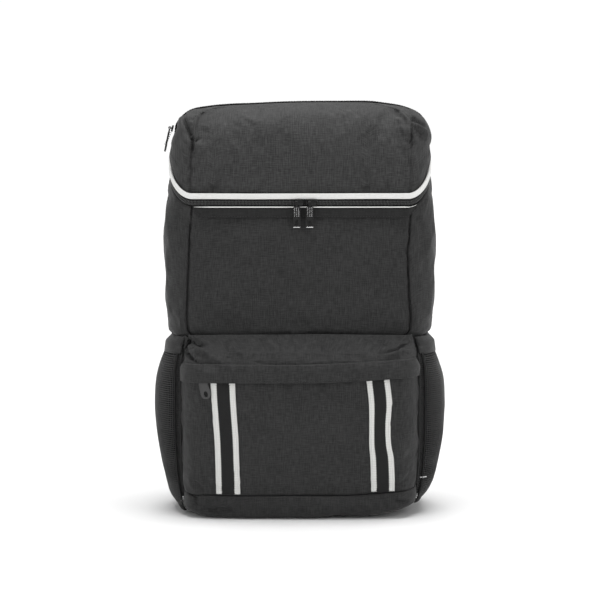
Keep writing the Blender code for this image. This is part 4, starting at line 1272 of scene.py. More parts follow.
def turned_right(made: bpy.types.Object) -> None:
    """Point a closed mesh's faces outwards.

    Args:
        made: The object.
    """
    work = bmesh.new()
    work.from_mesh(made.data)
    bmesh.ops.recalc_face_normals(work, faces=work.faces)
    work.to_mesh(made.data)
    work.free()


class Skin:
    """A finished grid of cloth that other pieces are laid on."""

    def __init__(self, points: np.ndarray, closed: bool = False) -> None:
        """Keep the points and make them quick to hit.

        Args:
            points: Rows of points.
            closed: Whether the last column joins the first.
        """
        self.points = points
        rows, cols = points.shape[:2]
        self.tree = BVHTree.FromPolygons(
            [tuple(p) for p in points.reshape(-1, 3)], grid_faces(rows, cols, closed), all_triangles=False
        )

    def drop(self, start: np.ndarray, way: np.ndarray, lift: float) -> tuple[np.ndarray, np.ndarray]:
        """Lay one point on the cloth.

        Args:
            start: A point outside.
            way: Direction towards the cloth.
            lift: Distance to stay off the cloth.

        Returns:
            The laid point and the outward direction.
        """
        way = way / np.linalg.norm(way)
        hit, normal, _, _ = self.tree.ray_cast(Vector(start), Vector(way))
        if hit is None:
            hit, normal, _, _ = self.tree.find_nearest(Vector(start))
        outward = np.array(normal)
        if outward @ way > 0:
            outward = -outward
        return np.array(hit) + outward * lift, outward

    def from_front(self, x: float, z: float, lift: float) -> tuple[np.ndarray, np.ndarray]:
        """Lay a point on the cloth from straight in front."""
        return self.drop(np.array([x, -0.3, z]), np.array(BACKWARD), lift)


@dataclass
class Seam:
    """A line on the cloth with the direction that points out of it."""

    path: np.ndarray
    outward: np.ndarray


@dataclass(frozen=True)
class Bead:
    """A small rounded bead that is repeated along a line: a stitch, a turn of coil or a stud.

    Its size is the length along the line, the width and the height.
    """

    pitch: float
    size: tuple[float, float, float]
    segments: int = 6
    rings: int = 4


BOLD_STITCH = Bead(3.0 * MM, (2.3 * MM, 0.5 * MM, 0.45 * MM))
STITCH = Bead(3.0 * MM, (2.3 * MM, 0.45 * MM, 0.4 * MM))
STRAP_STITCH = Bead(3.2 * MM, (2.4 * MM, 0.5 * MM, 0.45 * MM))
RIBBON_STITCH = Bead(2.6 * MM, (1.9 * MM, 0.35 * MM, 0.3 * MM))
LID_COIL = Bead(1.5 * MM, (0.95 * MM, 2.7 * MM, 1.5 * MM))
CROWN_COIL = Bead(1.25 * MM, (0.95 * MM, 2.7 * MM, 1.5 * MM))
STUD = Bead(2.05 * MM, (1.05 * MM, 1.05 * MM, 0.9 * MM), 8, 5)


def all_facing(count: int, way: Sequence[float]) -> np.ndarray:
    """One direction repeated for every point of a line."""
    return np.tile(np.array(way, dtype=float), (count, 1))


def box_of(node: str) -> tuple[np.ndarray, np.ndarray]:
    """Lowest and highest corner of a CAD node."""
    low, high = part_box(node)
    return np.array(low), np.array(high)


class RepeatTree:
    """Geometry Nodes tree with named inputs that is run once on an object."""

    def __init__(self, name: str, inputs: dict[str, str]) -> None:
        """Start the tree.

        Args:
            name: Name of the node group.
            inputs: Kind of each input by its name.
        """
        self.tree = bpy.data.node_groups.new(name, "GeometryNodeTree")
        face = self.tree.interface
        face.new_socket("Geometry", in_out="INPUT", socket_type="NodeSocketGeometry")
        self.keys = {}
        for label, kind in inputs.items():
            made = face.new_socket(label, in_out="INPUT", socket_type=f"NodeSocket{kind}")
            self.keys[label] = made.identifier
        face.new_socket("Geometry", in_out="OUTPUT", socket_type="NodeSocketGeometry")
        self.start, self.end = self.add("NodeGroupInput"), self.add("NodeGroupOutput")

    def add(self, kind: str, inputs: dict[str, object] | None = None, **settings: object) -> bpy.types.Node:
        """Add a node with its settings, its values and its links.

        Args:
            kind: Node type name.
            inputs: A value, or a node and the name of its output, by input name.
            **settings: Attributes of the node.

        Returns:
            The new node.
        """
        node = self.tree.nodes.new(kind)
        for key, value in settings.items():
            setattr(node, key, value)
        for key, value in (inputs or {}).items():
            self.feed(node, key, value)
        return node

    def feed(self, node: bpy.types.Node, key: str, value: object) -> None:
        """Give an input a value, or link it to a node's output."""
        if isinstance(value, tuple):
            giver, output = value
            self.tree.links.new(giver.outputs[output], node.inputs[key])
        else:
            node.inputs[key].default_value = value

    def paint(self, node: bpy.types.Node) -> None:
        """Give a node's mesh the finish and hand it to the tree's output.

        Args:
            node: The CAD node's name.
        """
        source = {"Geometry": (node, "Geometry"), "Material": (self.start, "Finish")}
        painted = self.add("GeometryNodeSetMaterial", source)
        self.feed(self.end, "Geometry", (painted, "Geometry"))

    def apply(self, made: bpy.types.Object, values: dict[str, object]) -> bpy.types.Object:
        """Run the tree on an object and keep the result as its plain mesh.

        Args:
            made: The object.
            values: Value of each input by its name.

        Returns:
            The same object.
        """
        modifier = made.modifiers.new("repeat", "NODES")
        modifier.node_group = self.tree
        for label, value in values.items():
            modifier[self.keys[label]] = value
        return plain_mesh(made)


class RowTree(RepeatTree):
    """Repeats a small rounded bead along lines on the cloth."""

    def __init__(self) -> None:
        """Build the nodes: beads on evenly spaced points, turned along the line and outwards."""
        counts = {"Segments": "Int", "Rings": "Int"}
        inputs = {"Spacing": "Float", "Bead size": "Vector", **counts, "Finish": "Material"}
        super().__init__("beads_along_seam", inputs)
        start = self.start
        curve = self.add("GeometryNodeMeshToCurve", {"Mesh": (start, "Geometry")})
        spaced = {"Curve": (curve, "Curve"), "Length": (start, "Spacing")}
        even = self.add("GeometryNodeResampleCurve", spaced, mode="LENGTH")
        named = {"Name": "outward"}
        outward = self.add("GeometryNodeInputNamedAttribute", named, data_type="FLOAT_VECTOR")
        tangent = self.add("GeometryNodeInputTangent")
        along = self.add("FunctionNodeAlignRotationToVector", {"Vector": (tangent, "Tangent")}, axis="X")
        turns = {"Rotation": (along, "Rotation"), "Vector": (outward, "Attribute")}
        turned = self.add("FunctionNodeAlignRotationToVector", turns, axis="Z", pivot_axis="X")
        parts = {"Segments": (start, "Segments"), "Rings": (start, "Rings"), "Radius": 0.5}
        bead = self.add("GeometryNodeMeshUVSphere", parts)
        placing = {
            "Points": (even, "Curve"),
            "Instance": (bead, "Mesh"),
            "Rotation": (turned, "Rotation"),
            "Scale": (start, "Bead size"),
        }
        placed = self.add("GeometryNodeInstanceOnPoints", placing)
        real = self.add("GeometryNodeRealizeInstances", {"Geometry": (placed, "Instances")})
        self.paint(self.add("GeometryNodeSetShadeSmooth", {"Geometry": (real, "Geometry")}))

    def run(
        self, name: str, seams: Sequence[Seam], bead: Bead, finish: bpy.types.Material
    ) -> bpy.types.Object:
        """Repeat a bead along seams.

        Args:
            name: Name of the piece.
            seams: Lines to follow.
            bead: What to repeat.
            finish: Its material.

        Returns:
            The object, with a plain mesh.
        """
        edges, start = [], 0
        for seam in seams:
            edges += [(start + i, start + i + 1) for i in range(len(seam.path) - 1)]
            start += len(seam.path)
        guide = bpy.data.meshes.new(f"{name}_guide")
        guide.from_pydata([tuple(v) for v in np.concatenate([s.path for s in seams])], edges, [])
        attribute = guide.attributes.new("outward", "FLOAT_VECTOR", "POINT")
        outward = np.concatenate([s.outward for s in seams])
        attribute.data.foreach_set("vector", outward.astype(np.float32).ravel())
        made = bpy.data.objects.new(name, guide)
        bpy.context.scene.collection.objects.link(made)
        values = {
            "Spacing": bead.pitch,
            "Bead size": bead.size,
            "Segments": bead.segments,
            "Rings": bead.rings,
            "Finish": finish,
        }
        return self.apply(made, values)


def plain_mesh(made: bpy.types.Object) -> bpy.types.Object:
    """Swap an object's mesh for its evaluated one and drop its modifiers.

    Args:
        made: The object.

    Returns:
        The same object.
    """
    depsgraph = bpy.context.evaluated_depsgraph_get()
    depsgraph.update()
    baked = bpy.data.meshes.new_from_object(made.evaluated_get(depsgraph))
    made.modifiers.clear()
    made.data = baked
    return made


class NetTree(RepeatTree):
    """Turns the edges of a grid into knitted strands with real holes."""

    def __init__(self) -> None:
        """Build the nodes: a four-sided strand swept along every edge."""
        super().__init__("strands_of_net", {"Strand radius": "Float", "Finish": "Material"})
        curve = self.add("GeometryNodeMeshToCurve", {"Mesh": (self.start, "Geometry")})
        section = {"Radius": (self.start, "Strand radius"), "Resolution": 4}
        profile = self.add("GeometryNodeCurvePrimitiveCircle", section)
        lines = {"Curve": (curve, "Curve"), "Profile Curve": (profile, "Curve"), "Fill Caps": True}
        sweep = self.add("GeometryNodeCurveToMesh", lines)
        self.paint(self.add("GeometryNodeSetShadeSmooth", {"Geometry": (sweep, "Mesh")}))

    def run(self, made: bpy.types.Object, radius: float, finish: bpy.types.Material) -> bpy.types.Object:
        """Turn a grid object into a net.

        Args:
            made: The grid object.
            radius: Radius of a strand.
            finish: Its material.

        Returns:
            The same object with a plain mesh.
        """
        return self.apply(made, {"Strand radius": radius, "Finish": finish})


def settle(made: bpy.types.Object, slot: str, *nodes: str, body: str = BAG) -> bpy.types.Object:
    """Attach a piece to its body, hide the CAD nodes that it stands for and log its triangles.

    Args:
        made: The piece.
        slot: The record's slot; not used.
        *nodes: CAD nodes that it replaces.
        body: The body that it rides on.

    Returns:
        The piece.
    """
    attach(made, body)
    if nodes:
        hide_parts(*nodes)
    count = sum(len(p.vertices) - 2 for p in made.data.polygons)
    LOG.info("%s: %d triangles on %s", made.name, count, body)
    return made


def smooth_curve(marks: np.ndarray, count: int) -> np.ndarray:
    """Points on a smooth curve through marks.

    Args:
        marks: The points to pass.
        count: How many points to return.

    Returns:
        Evenly counted points along the curve.
    """
    padded = np.concatenate([[2 * marks[0] - marks[1]], marks, [2 * marks[-1] - marks[-2]]])
    made = []
    for t in np.linspace(0, len(marks) - 1, count):
        i = min(int(t), len(marks) - 2)
        u = t - i
        a, b, c, d = padded[i : i + 4]
        square, cube = 2 * a - 5 * b + 4 * c - d, 3 * b - a - 3 * c + d
        made.append(0.5 * (2 * b + (c - a) * u + square * u**2 + cube * u**3))
    return np.array(made)


# Sub-assemblies


@dataclass
class Compartment:
    """Padded walls of the main compartment, with the corner seams beside the front panel."""

    form: BagForm
    wardrobe: Wardrobe
    rows: Sequence[Sequence[float]] = field(
        default_factory=lambda: (
            # height mm, left shift mm, right shift mm of the corner seams
            (150.0, -4.0, 4.0),
            (200.0, -8.0, 5.0),
            (240.0, -4.0, 0.0),
            (280.0, -2.0, -2.0),
            (315.0, -0.5, 1.5),
            (336.0, 0.5, 3.0),
        )
    )
    creases: Sequence[Crease] = (
        Crease(-118, 204, -96, 196, 6.0, -1.4),
        Crease(-96, 214, -60, 200, 9.0, 1.2),
        Crease(96, 214, 60, 202, 9.0, 1.2),
        Crease(112, 212, 80, 206, 7.0, -1.2),
        Crease(-20, 203, 30, 201, 8.0, 1.0),
        Crease(-70, 290, -30, 270, 16.0, 0.8),
        Crease(60, 285, 90, 240, 14.0, 0.9),
        Crease(-95, 260, -85, 230, 10.0, 0.7),
        Crease(124, 318, 132, 290, 3.5, 0.9),
        Crease(130, 300, 134, 240, 4.0, 0.8),
        Crease(-126, 330, -133, 300, 4.0, 0.8),
        Crease(-10, 318, 60, 322, 10.0, 0.9, Facing.LEFT),
        Crease(-30, 250, 20, 262, 14.0, 1.4, Facing.LEFT),
        Crease(-20, 215, 40, 208, 9.0, 1.2, Facing.LEFT),
        Crease(-10, 318, 60, 322, 10.0, 0.9, Facing.RIGHT),
        Crease(-25, 262, 30, 246, 14.0, 1.4, Facing.RIGHT),
        Crease(-20, 215, 40, 208, 9.0, 1.2, Facing.RIGHT),
    )
    seam_depth: float = 3.0 * MM
    seam_width: float = 1.0 * MM
    # Columns that shift with the corner seams: their X, how far beside it, and up to which Y
    seam_x: float = 0.114
    seam_reach: float = 0.016
    front_only: float = -0.02

    def build(self) -> None:
        """Make the walls as one cloth with seams."""
        form = self.form
        at = ring_stations()
        top = form.zip_line(at) - form.zip_chain - 2 * GAP
        low = form.floor + GAP
        share = np.concatenate([np.linspace(0, 0.06, 8), np.linspace(0.072, 1, 104)])[:, None]
        points = form.body(at, low + share * (top - low))
        points = self.shift_seams(points)
        held = np.zeros(points.shape[:2], dtype=bool)
        held[:3] = held[-2:] = True
        held[:, at.on(Edge.FRONT_CORNER, 1.0) | at.on(Edge.BACK_CORNER, 0.0)] = True
        points = ClothRun().wrinkle(points, held, closed=True)
        points = rumple(points, ((70, 55, 1.5), (26, 34, 0.35)), 3.0, closed=True)
        points = press(points, self.creases, closed=True)
        points = self.sew(points, at)
        points[..., 2] += form.corner_lift(points) * np.clip(1 - points[..., 2] / 0.040, 0.0, 1.0)
        made = sheet_mesh("compartment_walls", points, self.wardrobe.cloth, thick=1.6 * MM, closed=True)
        sides = [f"side_{part}_{side}" for part in ("lower", "upper") for side in ("left", "right")]
        settle(made, "ripstop_cloth", "front_panel", "back_wall", *sides)

    def shift_seams(self, points: np.ndarray) -> np.ndarray:
        """Move the columns near the corner seams as the photograph shows them.

        Args:
            points: Rows of points.

        Returns:
            The moved points.
        """
        rows = np.array(self.rows)
        z = points[..., 2] / MM
        left = np.interp(z, rows[:, 0], rows[:, 1])
        right = np.interp(z, rows[:, 0], rows[:, 2])
        x = points[..., 0]
        near_seam = np.exp(-(((np.abs(x) - self.seam_x) / self.seam_reach) ** 2))
        window = near_seam * (points[..., 1] < self.front_only)
        made = points.copy()
        made[..., 0] += np.where(x < 0, left, right) * MM * window
        return made

    def sew(self, points: np.ndarray, at: Stations) -> np.ndarray:
        """Draw the cloth in along its seams and puff it out beside them.

        Args:
            points: Rows of points.
            at: The stations.

        Returns:
            The moved points.
        """
        normals = grid_normals(points, True)
        moved = np.zeros(points.shape[:-1])
        for column in np.where(at.on(Edge.FRONT_CORNER, 1.0))[0]:
            away = np.linalg.norm(points - points[:, column : column + 1], axis=-1)
            moved += self.seam_depth * np.exp(-((away / self.seam_width) ** 2))
            moved -= 0.9 * MM * np.exp(-(((away - 3.5 * MM) / (2.5 * MM)) ** 2))
        for column in np.where(at.on(Edge.BACK_CORNER, 0.0))[0]:
            away = np.linalg.norm(points - points[:, column : column + 1], axis=-1)
            moved += self.seam_depth * np.exp(-((away / (2 * self.seam_width)) ** 2))
        return points - normals * moved[..., None]


@dataclass
class Lid:
    """Domed padded lid: a panel that runs over the crown between two side gussets."""

    form: BagForm
    wardrobe: Wardrobe
    # Gusset seams as X and Z in millimetres, from the rim up
    left_seam: tuple = (
        (-116.5, 343), (-116.0, 372), (-113.0, 397), (-120.0, 412), (-125.5, 425), (-120.0, 434)
    )
    right_seam: tuple = ((117.0, 343), (117.5, 372), (118.0, 400), (120.0, 421), (116.0, 433))
    seam_depth: float = 2.2 * MM
    seam_width: float = 1.1 * MM
    # Row of cloth behind the white trim, so that nothing shows through above it
    skirt: float = 4.0 * MM
    skirt_inset: float = 2.5 * MM
    # Rows at the crown that stay smooth, and rows over which the folds fade towards them
    calm_rows: int = 4
    fade_rows: int = 20
    creases: Sequence[Crease] = (
        Crease(-126, 425, -113, 397, 2.0, 2.6),
        Crease(-113, 397, -115, 387, 1.6, 2.0),
        Crease(-113, 397, -106, 401, 1.5, 1.8),
        Crease(-104, 406, -98, 411, 3.5, 0.9),
        Crease(-124, 405, -119, 385, 4.0, -1.2),
        Crease(-96, 348, -86, 347, 2.6, 2.2),
        Crease(-110, 359, -88, 356, 5.0, -1.2),
        Crease(-90, 430, -30, 434, 8.0, 0.8),
        Crease(-60, 360, -30, 352, 8.0, 0.8),
        Crease(66, 347.5, 74, 348, 2.2, 2.6),
        Crease(68, 350, 71, 371, 3.5, 1.6),
        Crease(91, 346.5, 94, 356, 2.4, 1.8),
        Crease(59, 360, 64, 372, 5.0, 1.2),
        Crease(80, 352, 86, 372, 6.0, -0.9),
        Crease(109, 404.5, 119, 401, 1.6, 1.0),
        Crease(110, 399, 118, 395, 1.6, 0.9),
        Crease(105, 412, 119, 408, 3.0, -0.8),
        Crease(121, 421, 134, 413, 1.5, 3.4),
        Crease(121, 416, 134, 409, 1.3, -2.0),
        Crease(122, 412, 134, 404, 1.5, 3.0),
        Crease(124, 406, 134, 400, 1.6, 2.2),
        Crease(20, 405, 60, 395, 18.0, 0.8),
        Crease(-70, 385, -20, 392, 20.0, 0.9),
        Crease(-20, 350, 40, 352, 8.0, 0.6),
        Crease(-35, 400, 15, 372, 9.0, 1.4, Facing.LEFT),
        Crease(-20, 412, 40, 408, 7.0, 1.2, Facing.LEFT),
        Crease(-35, 398, 20, 376, 9.0, 1.4, Facing.RIGHT),
        Crease(-10, 414, 45, 410, 6.0, 1.5, Facing.RIGHT),
    )

    def build(self) -> Skin:
        """Make the lid's cloth.

        Returns:
            The cloth, for the pieces laid on it.
        """
        at = ring_stations()
        share = np.sin(np.linspace(0, math.pi / 2, 64))[:, None]
        share[-1] = 1.0
        points = self.form.lid(at, share)
        held = np.zeros(points.shape[:2], dtype=bool)
        held[:2] = held[-3:] = True
        held[:, at.on(Edge.FRONT_CORNER, 1.0)] = True
        held |= (np.abs(points[..., 1] - self.form.lid_crown_y) < 0.013) & (points[..., 2] > 0.400)
        plain = points.copy()
        points = ClothRun(window=6).wrinkle(points, held, closed=True)
        points = rumple(points, ((80, 60, 1.3), (30, 26, 0.35)), 8.0, closed=True)
        points = press(points, self.creases, closed=True)
        points = self.sew(points)
        left_over = len(points) - self.calm_rows - np.arange(len(points))
        fade = np.clip(left_over / self.fade_rows, 0.0, 1.0)[:, None, None]
        points = plain + (points - plain) * fade
        skirt = self.form.lid(at, np.zeros((1, 1)), self.skirt_inset)
        skirt[..., 2] -= self.skirt
        points = np.concatenate([skirt, points])
        # The lid takes the lighter copy of the cloth: painted light for its better-lit slopes
        uv, finish = self.cloth_map(points), self.wardrobe.lid_cloth_painted_light
        made = sheet_mesh("lid_cover", points, finish, thick=1.6 * MM, closed=True, uv=uv)
        self.close_crown(made, points.shape[1], points.shape[0])
        settle(made, "ripstop_cloth", "lid_shell")
        return Skin(points, closed=True)

    def close_crown(self, made: bpy.types.Object, cols: int, rows: int) -> None:
        """Close the thin slit at the crown with strips from front to back.

        Args:
            made: The object.
            cols: Columns of the grid.
            rows: Rows of the grid.
        """
        work = bmesh.new()
        work.from_mesh(made.data)
        work.verts.ensure_lookup_table()
        start = (rows - 1) * cols
        ring = [work.verts[start + c] for c in range(cols)]
        layer = work.loops.layers.uv.active
        for i in range(cols // 2):
            quad = [ring[-i - 1], ring[-i], ring[i], ring[i + 1]] if i else [ring[-1], ring[0], ring[1]]
            unique = list(dict.fromkeys(quad))
            if len(unique) < 3:
                continue
            if work.faces.get(unique) is None:
                face = work.faces.new(unique[::-1])
                face.smooth = True
                for loop in face.loops:
                    loop[layer].uv = (loop.vert.co.x, loop.vert.co.y)
        bmesh.ops.recalc_face_normals(work, faces=work.faces)
        if sum(f.normal.z for f in work.faces if f.calc_center_median().z > 0.43) < 0:
            bmesh.ops.reverse_faces(work, faces=work.faces)
        work.to_mesh(made.data)
        work.free()

    def cloth_map(self, points: np.ndarray) -> np.ndarray:
        """Lay the weave straight over the lid: by X on the main panel, by Y on the gussets.

        Args:
            points: Rows of points.

        Returns:
            U and V of each point.
        """
        wide = np.concatenate([points, points[:, :1]], axis=1)
        normals = grid_normals(points, True)
        normals = np.concatenate([normals, normals[:, :1]], axis=1)
        up = arc_lengths(wide, 0)
        side = np.abs(normals[..., 0]).mean(axis=0) > 0.75
        across = np.where(side, wide[..., 1], wide[..., 0])
        return np.stack([across, up], axis=-1)

    def sew(self, points: np.ndarray) -> np.ndarray:
        """Draw the cloth in along the gusset seams.

        Args:
            points: Rows of points.

        Returns:
            The moved points.
        """
        normals = grid_normals(points, True)
        moved = np.zeros(points.shape[:-1])
        for line in (self.left_seam, self.right_seam):
            marks = np.array(line) * MM
            x = np.interp(points[..., 2], marks[:, 1], marks[:, 0])
            away = points[..., 0] - x
            front = np.clip(-normals[..., 1] * 3 + 0.6, 0.0, 1.0)
            moved += self.seam_depth * np.exp(-((away / self.seam_width) ** 2)) * front
            moved -= 0.6 * MM * np.exp(-(((np.abs(away) - 5 * MM) / (3 * MM)) ** 2)) * front
        return points - normals * moved[..., None]


@dataclass
class ZipLine:
    """White trim, zip, thin white piping and facing round the opening under the lid."""

    form: BagForm
    wardrobe: Wardrobe
    rows: RowTree
    thin: float = 1.3 * MM
    facing_height: float = 10.5 * MM
    left_end: float = -0.1125
    right_end: float = 0.124

    def follow(self, at: Stations, up: float | np.ndarray, out: float | np.ndarray) -> Seam:
        """A line at a height above the zip line, at a distance off the wall.

        Args:
            at: The stations.
            up: Height above the zip line.
            out: Distance off the wall.

        Returns:
            The line, with its outward directions.
        """
        line = self.form.zip_line(at)
        plain = self.form.body(at, line + up)
        path = self.form.body(at, line + up, -np.asarray(out))
        outward = self.form.body(at, line + up, -0.01) - plain
        outward /= np.linalg.norm(outward, axis=-1, keepdims=True)
        return Seam(path, outward)

    def build(self) -> None:
        """Make every strip of the zip line."""
        edges = (Edge.BACK_CORNER, Edge.SIDE, Edge.FRONT_CORNER, Edge.FRONT)
        run = front_stations(edges)
        self.trim(run)
        self.chain(run)
        self.lower_edge()
        self.hinge()

    def trim(self, run: Stations) -> None:
        """Raised white trim, a little wavy where the cloth pulls at it.

        Args:
            run: Stations along the strip.
        """
        form = self.form
        seam = self.follow(run, form.piping / 2 + GAP, form.piping_out / 2 - 0.2 * MM)
        path = seam.path
        path[:, 2] += noise_field(path[None], (14.0, 14.0, 14.0), 2.0)[0] * 0.45 * MM
        uneven = 1 + 0.06 * noise_field(path[None], (22.0, 22.0, 22.0), 5.0)[0]
        high = form.piping * self.taper(run) * uneven
        deep = form.piping_out + 1.0 * MM
        finish = self.wardrobe.piping
        made = tube_mesh("white_trim", path, seam.outward, high, deep, finish, power=3.2, sides=16)
        settle(made, "white_piping", "lid_piping")

    def taper(self, run: Stations) -> np.ndarray:
        """How much of its width the trim shows: it narrows round the corners to the sides.

        Args:
            run: Stations along the strip.

        Returns:
            Shares of the full width.
        """
        corner = run.edge == Edge.FRONT_CORNER.value
        front = run.edge == Edge.FRONT.value
        return np.where(front, 1.0, np.where(corner, 0.62 + 0.38 * run.share**1.3, 0.62))

    def chain(self, run: Stations) -> None:
        """Zip tape with its two rows of coil.

        Args:
            run: Stations along the strip.
        """
        form = self.form
        middle = -form.zip_chain / 2 - GAP / 2
        seam = self.follow(run, middle, -0.9 * MM)
        path, out, wide = seam.path, seam.outward, form.zip_chain + 0.6 * MM
        tape = tube_mesh("lid_zip_tape", path, out, wide, 1.4 * MM, self.wardrobe.tape, power=6.0, sides=12)
        settle(tape, "zip_tape", "lid_zip")
        rows = []
        for up, lag in ((1.15 * MM, 0.0), (-1.15 * MM, 0.5)):
            line = self.follow(run, middle + up, 0.1 * MM)
            shifted = line.path + np.gradient(line.path, axis=0) * lag * 0.3
            rows.append(Seam(shifted, line.outward))
        coil = self.rows.run("lid_zip_coil", rows, LID_COIL, self.wardrobe.coil)
        settle(coil, "zip_tape")

    def lower_edge(self) -> None:
        """Facing band under the zip, its stitches and the thin white piping on its edge."""
        form = self.form
        run = front_stations((Edge.FRONT_CORNER, Edge.FRONT))
        x = self.follow(run, 0.0, 0.0).path[:, 0]
        inside = np.where((x > self.left_end) & (x < self.right_end))[0]
        run = run.pick(inside[0], inside[-1] + 1)
        count = len(run.side)
        ends = np.minimum(np.arange(count), np.arange(count)[::-1]) / 6.0
        taper = np.clip(ends, 0.0, 1.0)
        top = -form.zip_chain - 3 * GAP - 1.2 * MM
        tall = self.facing_height
        grid = []
        for row, level in enumerate(np.linspace(-tall, 0.0, 9)):
            puff = 1.0 * MM + 0.5 * MM * math.sin(math.pi * (level + tall) / tall)
            line = self.follow(run, top + level * (0.35 + 0.65 * taper), GAP + puff * (0.3 + 0.7 * taper))
            grid.append(line.path)
            if row == 1:
                stitch = Seam(line.path + line.outward * 0.15 * MM, line.outward)
        facing = sheet_mesh("zip_facing_band", np.array(grid), self.wardrobe.facing, thick=0.9 * MM)
        settle(facing, "zip_tape", "zip_facing")
        settle(self.rows.run("facing_stitches", [stitch], BOLD_STITCH, self.wardrobe.thread), "zip_tape")
        cord = self.follow(run, top + 0.9 * MM, 1.4 * MM * taper + 0.3 * MM)
        wide = self.thin * (0.3 + 0.7 * np.clip(ends * 0.6, 0.0, 1.0))
        made = tube_mesh("thin_white_piping", cord.path, cord.outward, wide, wide, self.wardrobe.piping)
        settle(made, "white_piping", "zip_thin_piping")

    def hinge(self) -> None:
        """Cloth strip at the back, where the lid stays joined to the bag."""
        left, right = (half_stations(side, (Edge.BACK,)) for side in (-1, 1))
        run = Stations(
            np.concatenate([right.side[:0:-1], left.side]),
            np.concatenate([right.edge[:0:-1], left.edge]),
            np.concatenate([right.share[:0:-1], left.share]),
        )
        grid = []
        for up in np.linspace(-self.form.zip_chain - GAP, self.form.piping + GAP, 7):
            dip = 0.8 * MM * math.cos(up / self.form.piping * 2.0)
            grid.append(self.follow(run, up, 0.4 * MM - dip).path)
        made = sheet_mesh("lid_hinge_cloth", np.array(grid), self.wardrobe.cloth, thick=1.4 * MM)
        settle(made, "ripstop_cloth", "lid_hinge")


@dataclass
class CrownZip:
    """Zip of the flat pocket in the lid, running over the crown from side to side."""

    form: BagForm
    wardrobe: Wardrobe
    rows: RowTree
    cover: Skin
    end_z: float = 0.404
    width: float = 0.020
    # Points that the tape is laid from, on an arch round a middle inside the lid
    aim_z: float = 0.395
    arch: float = 0.09
    places: int = 90

    def build(self) -> None:
        """Make the tape with its rolled edges and the coil."""
        path, out = self.lay()
        wide, finish = self.width, self.wardrobe.tape
        tape = tube_mesh("lid_pocket_zip_tape", path, out, wide, 1.2 * MM, finish, power=7.0, sides=16)
        settle(tape, "zip_tape", "lid_pocket_zip")
        coil = self.beside(path, out, 1.15 * MM, 0.6 * MM)
        settle(self.rows.run("lid_pocket_zip_coil", coil, CROWN_COIL, self.wardrobe.coil), "zip_tape")
        lips = self.beside(path, out, 7.5 * MM, 0.7 * MM)
        settle(self.rows.run("lid_pocket_stitches", lips, BOLD_STITCH, self.wardrobe.thread), "zip_tape")

    def lay(self) -> tuple[np.ndarray, np.ndarray]:
        """Middle line of the zip on the lid, with its outward directions."""
        middle = self.form.lid_crown_y
        turn = np.linspace(0, math.pi, self.places)
        across = -np.cos(turn) * self.form.lid_width / 2 * 1.3
        high = self.aim_z + np.sin(turn) * self.arch
        start = np.stack([across, np.full(self.places, middle), high], -1)
        laid = []
        for origin in start:
            target = np.array([origin[0] * 0.72, middle, self.aim_z])
            point, out = self.cover.drop(origin, target - origin, 0.9 * MM)
            if point[2] > self.end_z:
                out[1] = 0.0
                laid.append((point, out / np.linalg.norm(out)))
        path = smooth_curve(np.array([p for p, _ in laid])[::5], 100)
        out = smooth_curve(np.array([n for _, n in laid])[::5], 100)
        path[:, 1] = middle
        return path, out

    def beside(self, path: np.ndarray, out: np.ndarray, away: float, lift: float) -> list[Seam]:
        """Two lines beside the zip's middle, lifted off the tape."""
        return [Seam(path + np.array([0.0, shift, 0.0]) + out * lift, out) for shift in (-away, away)]


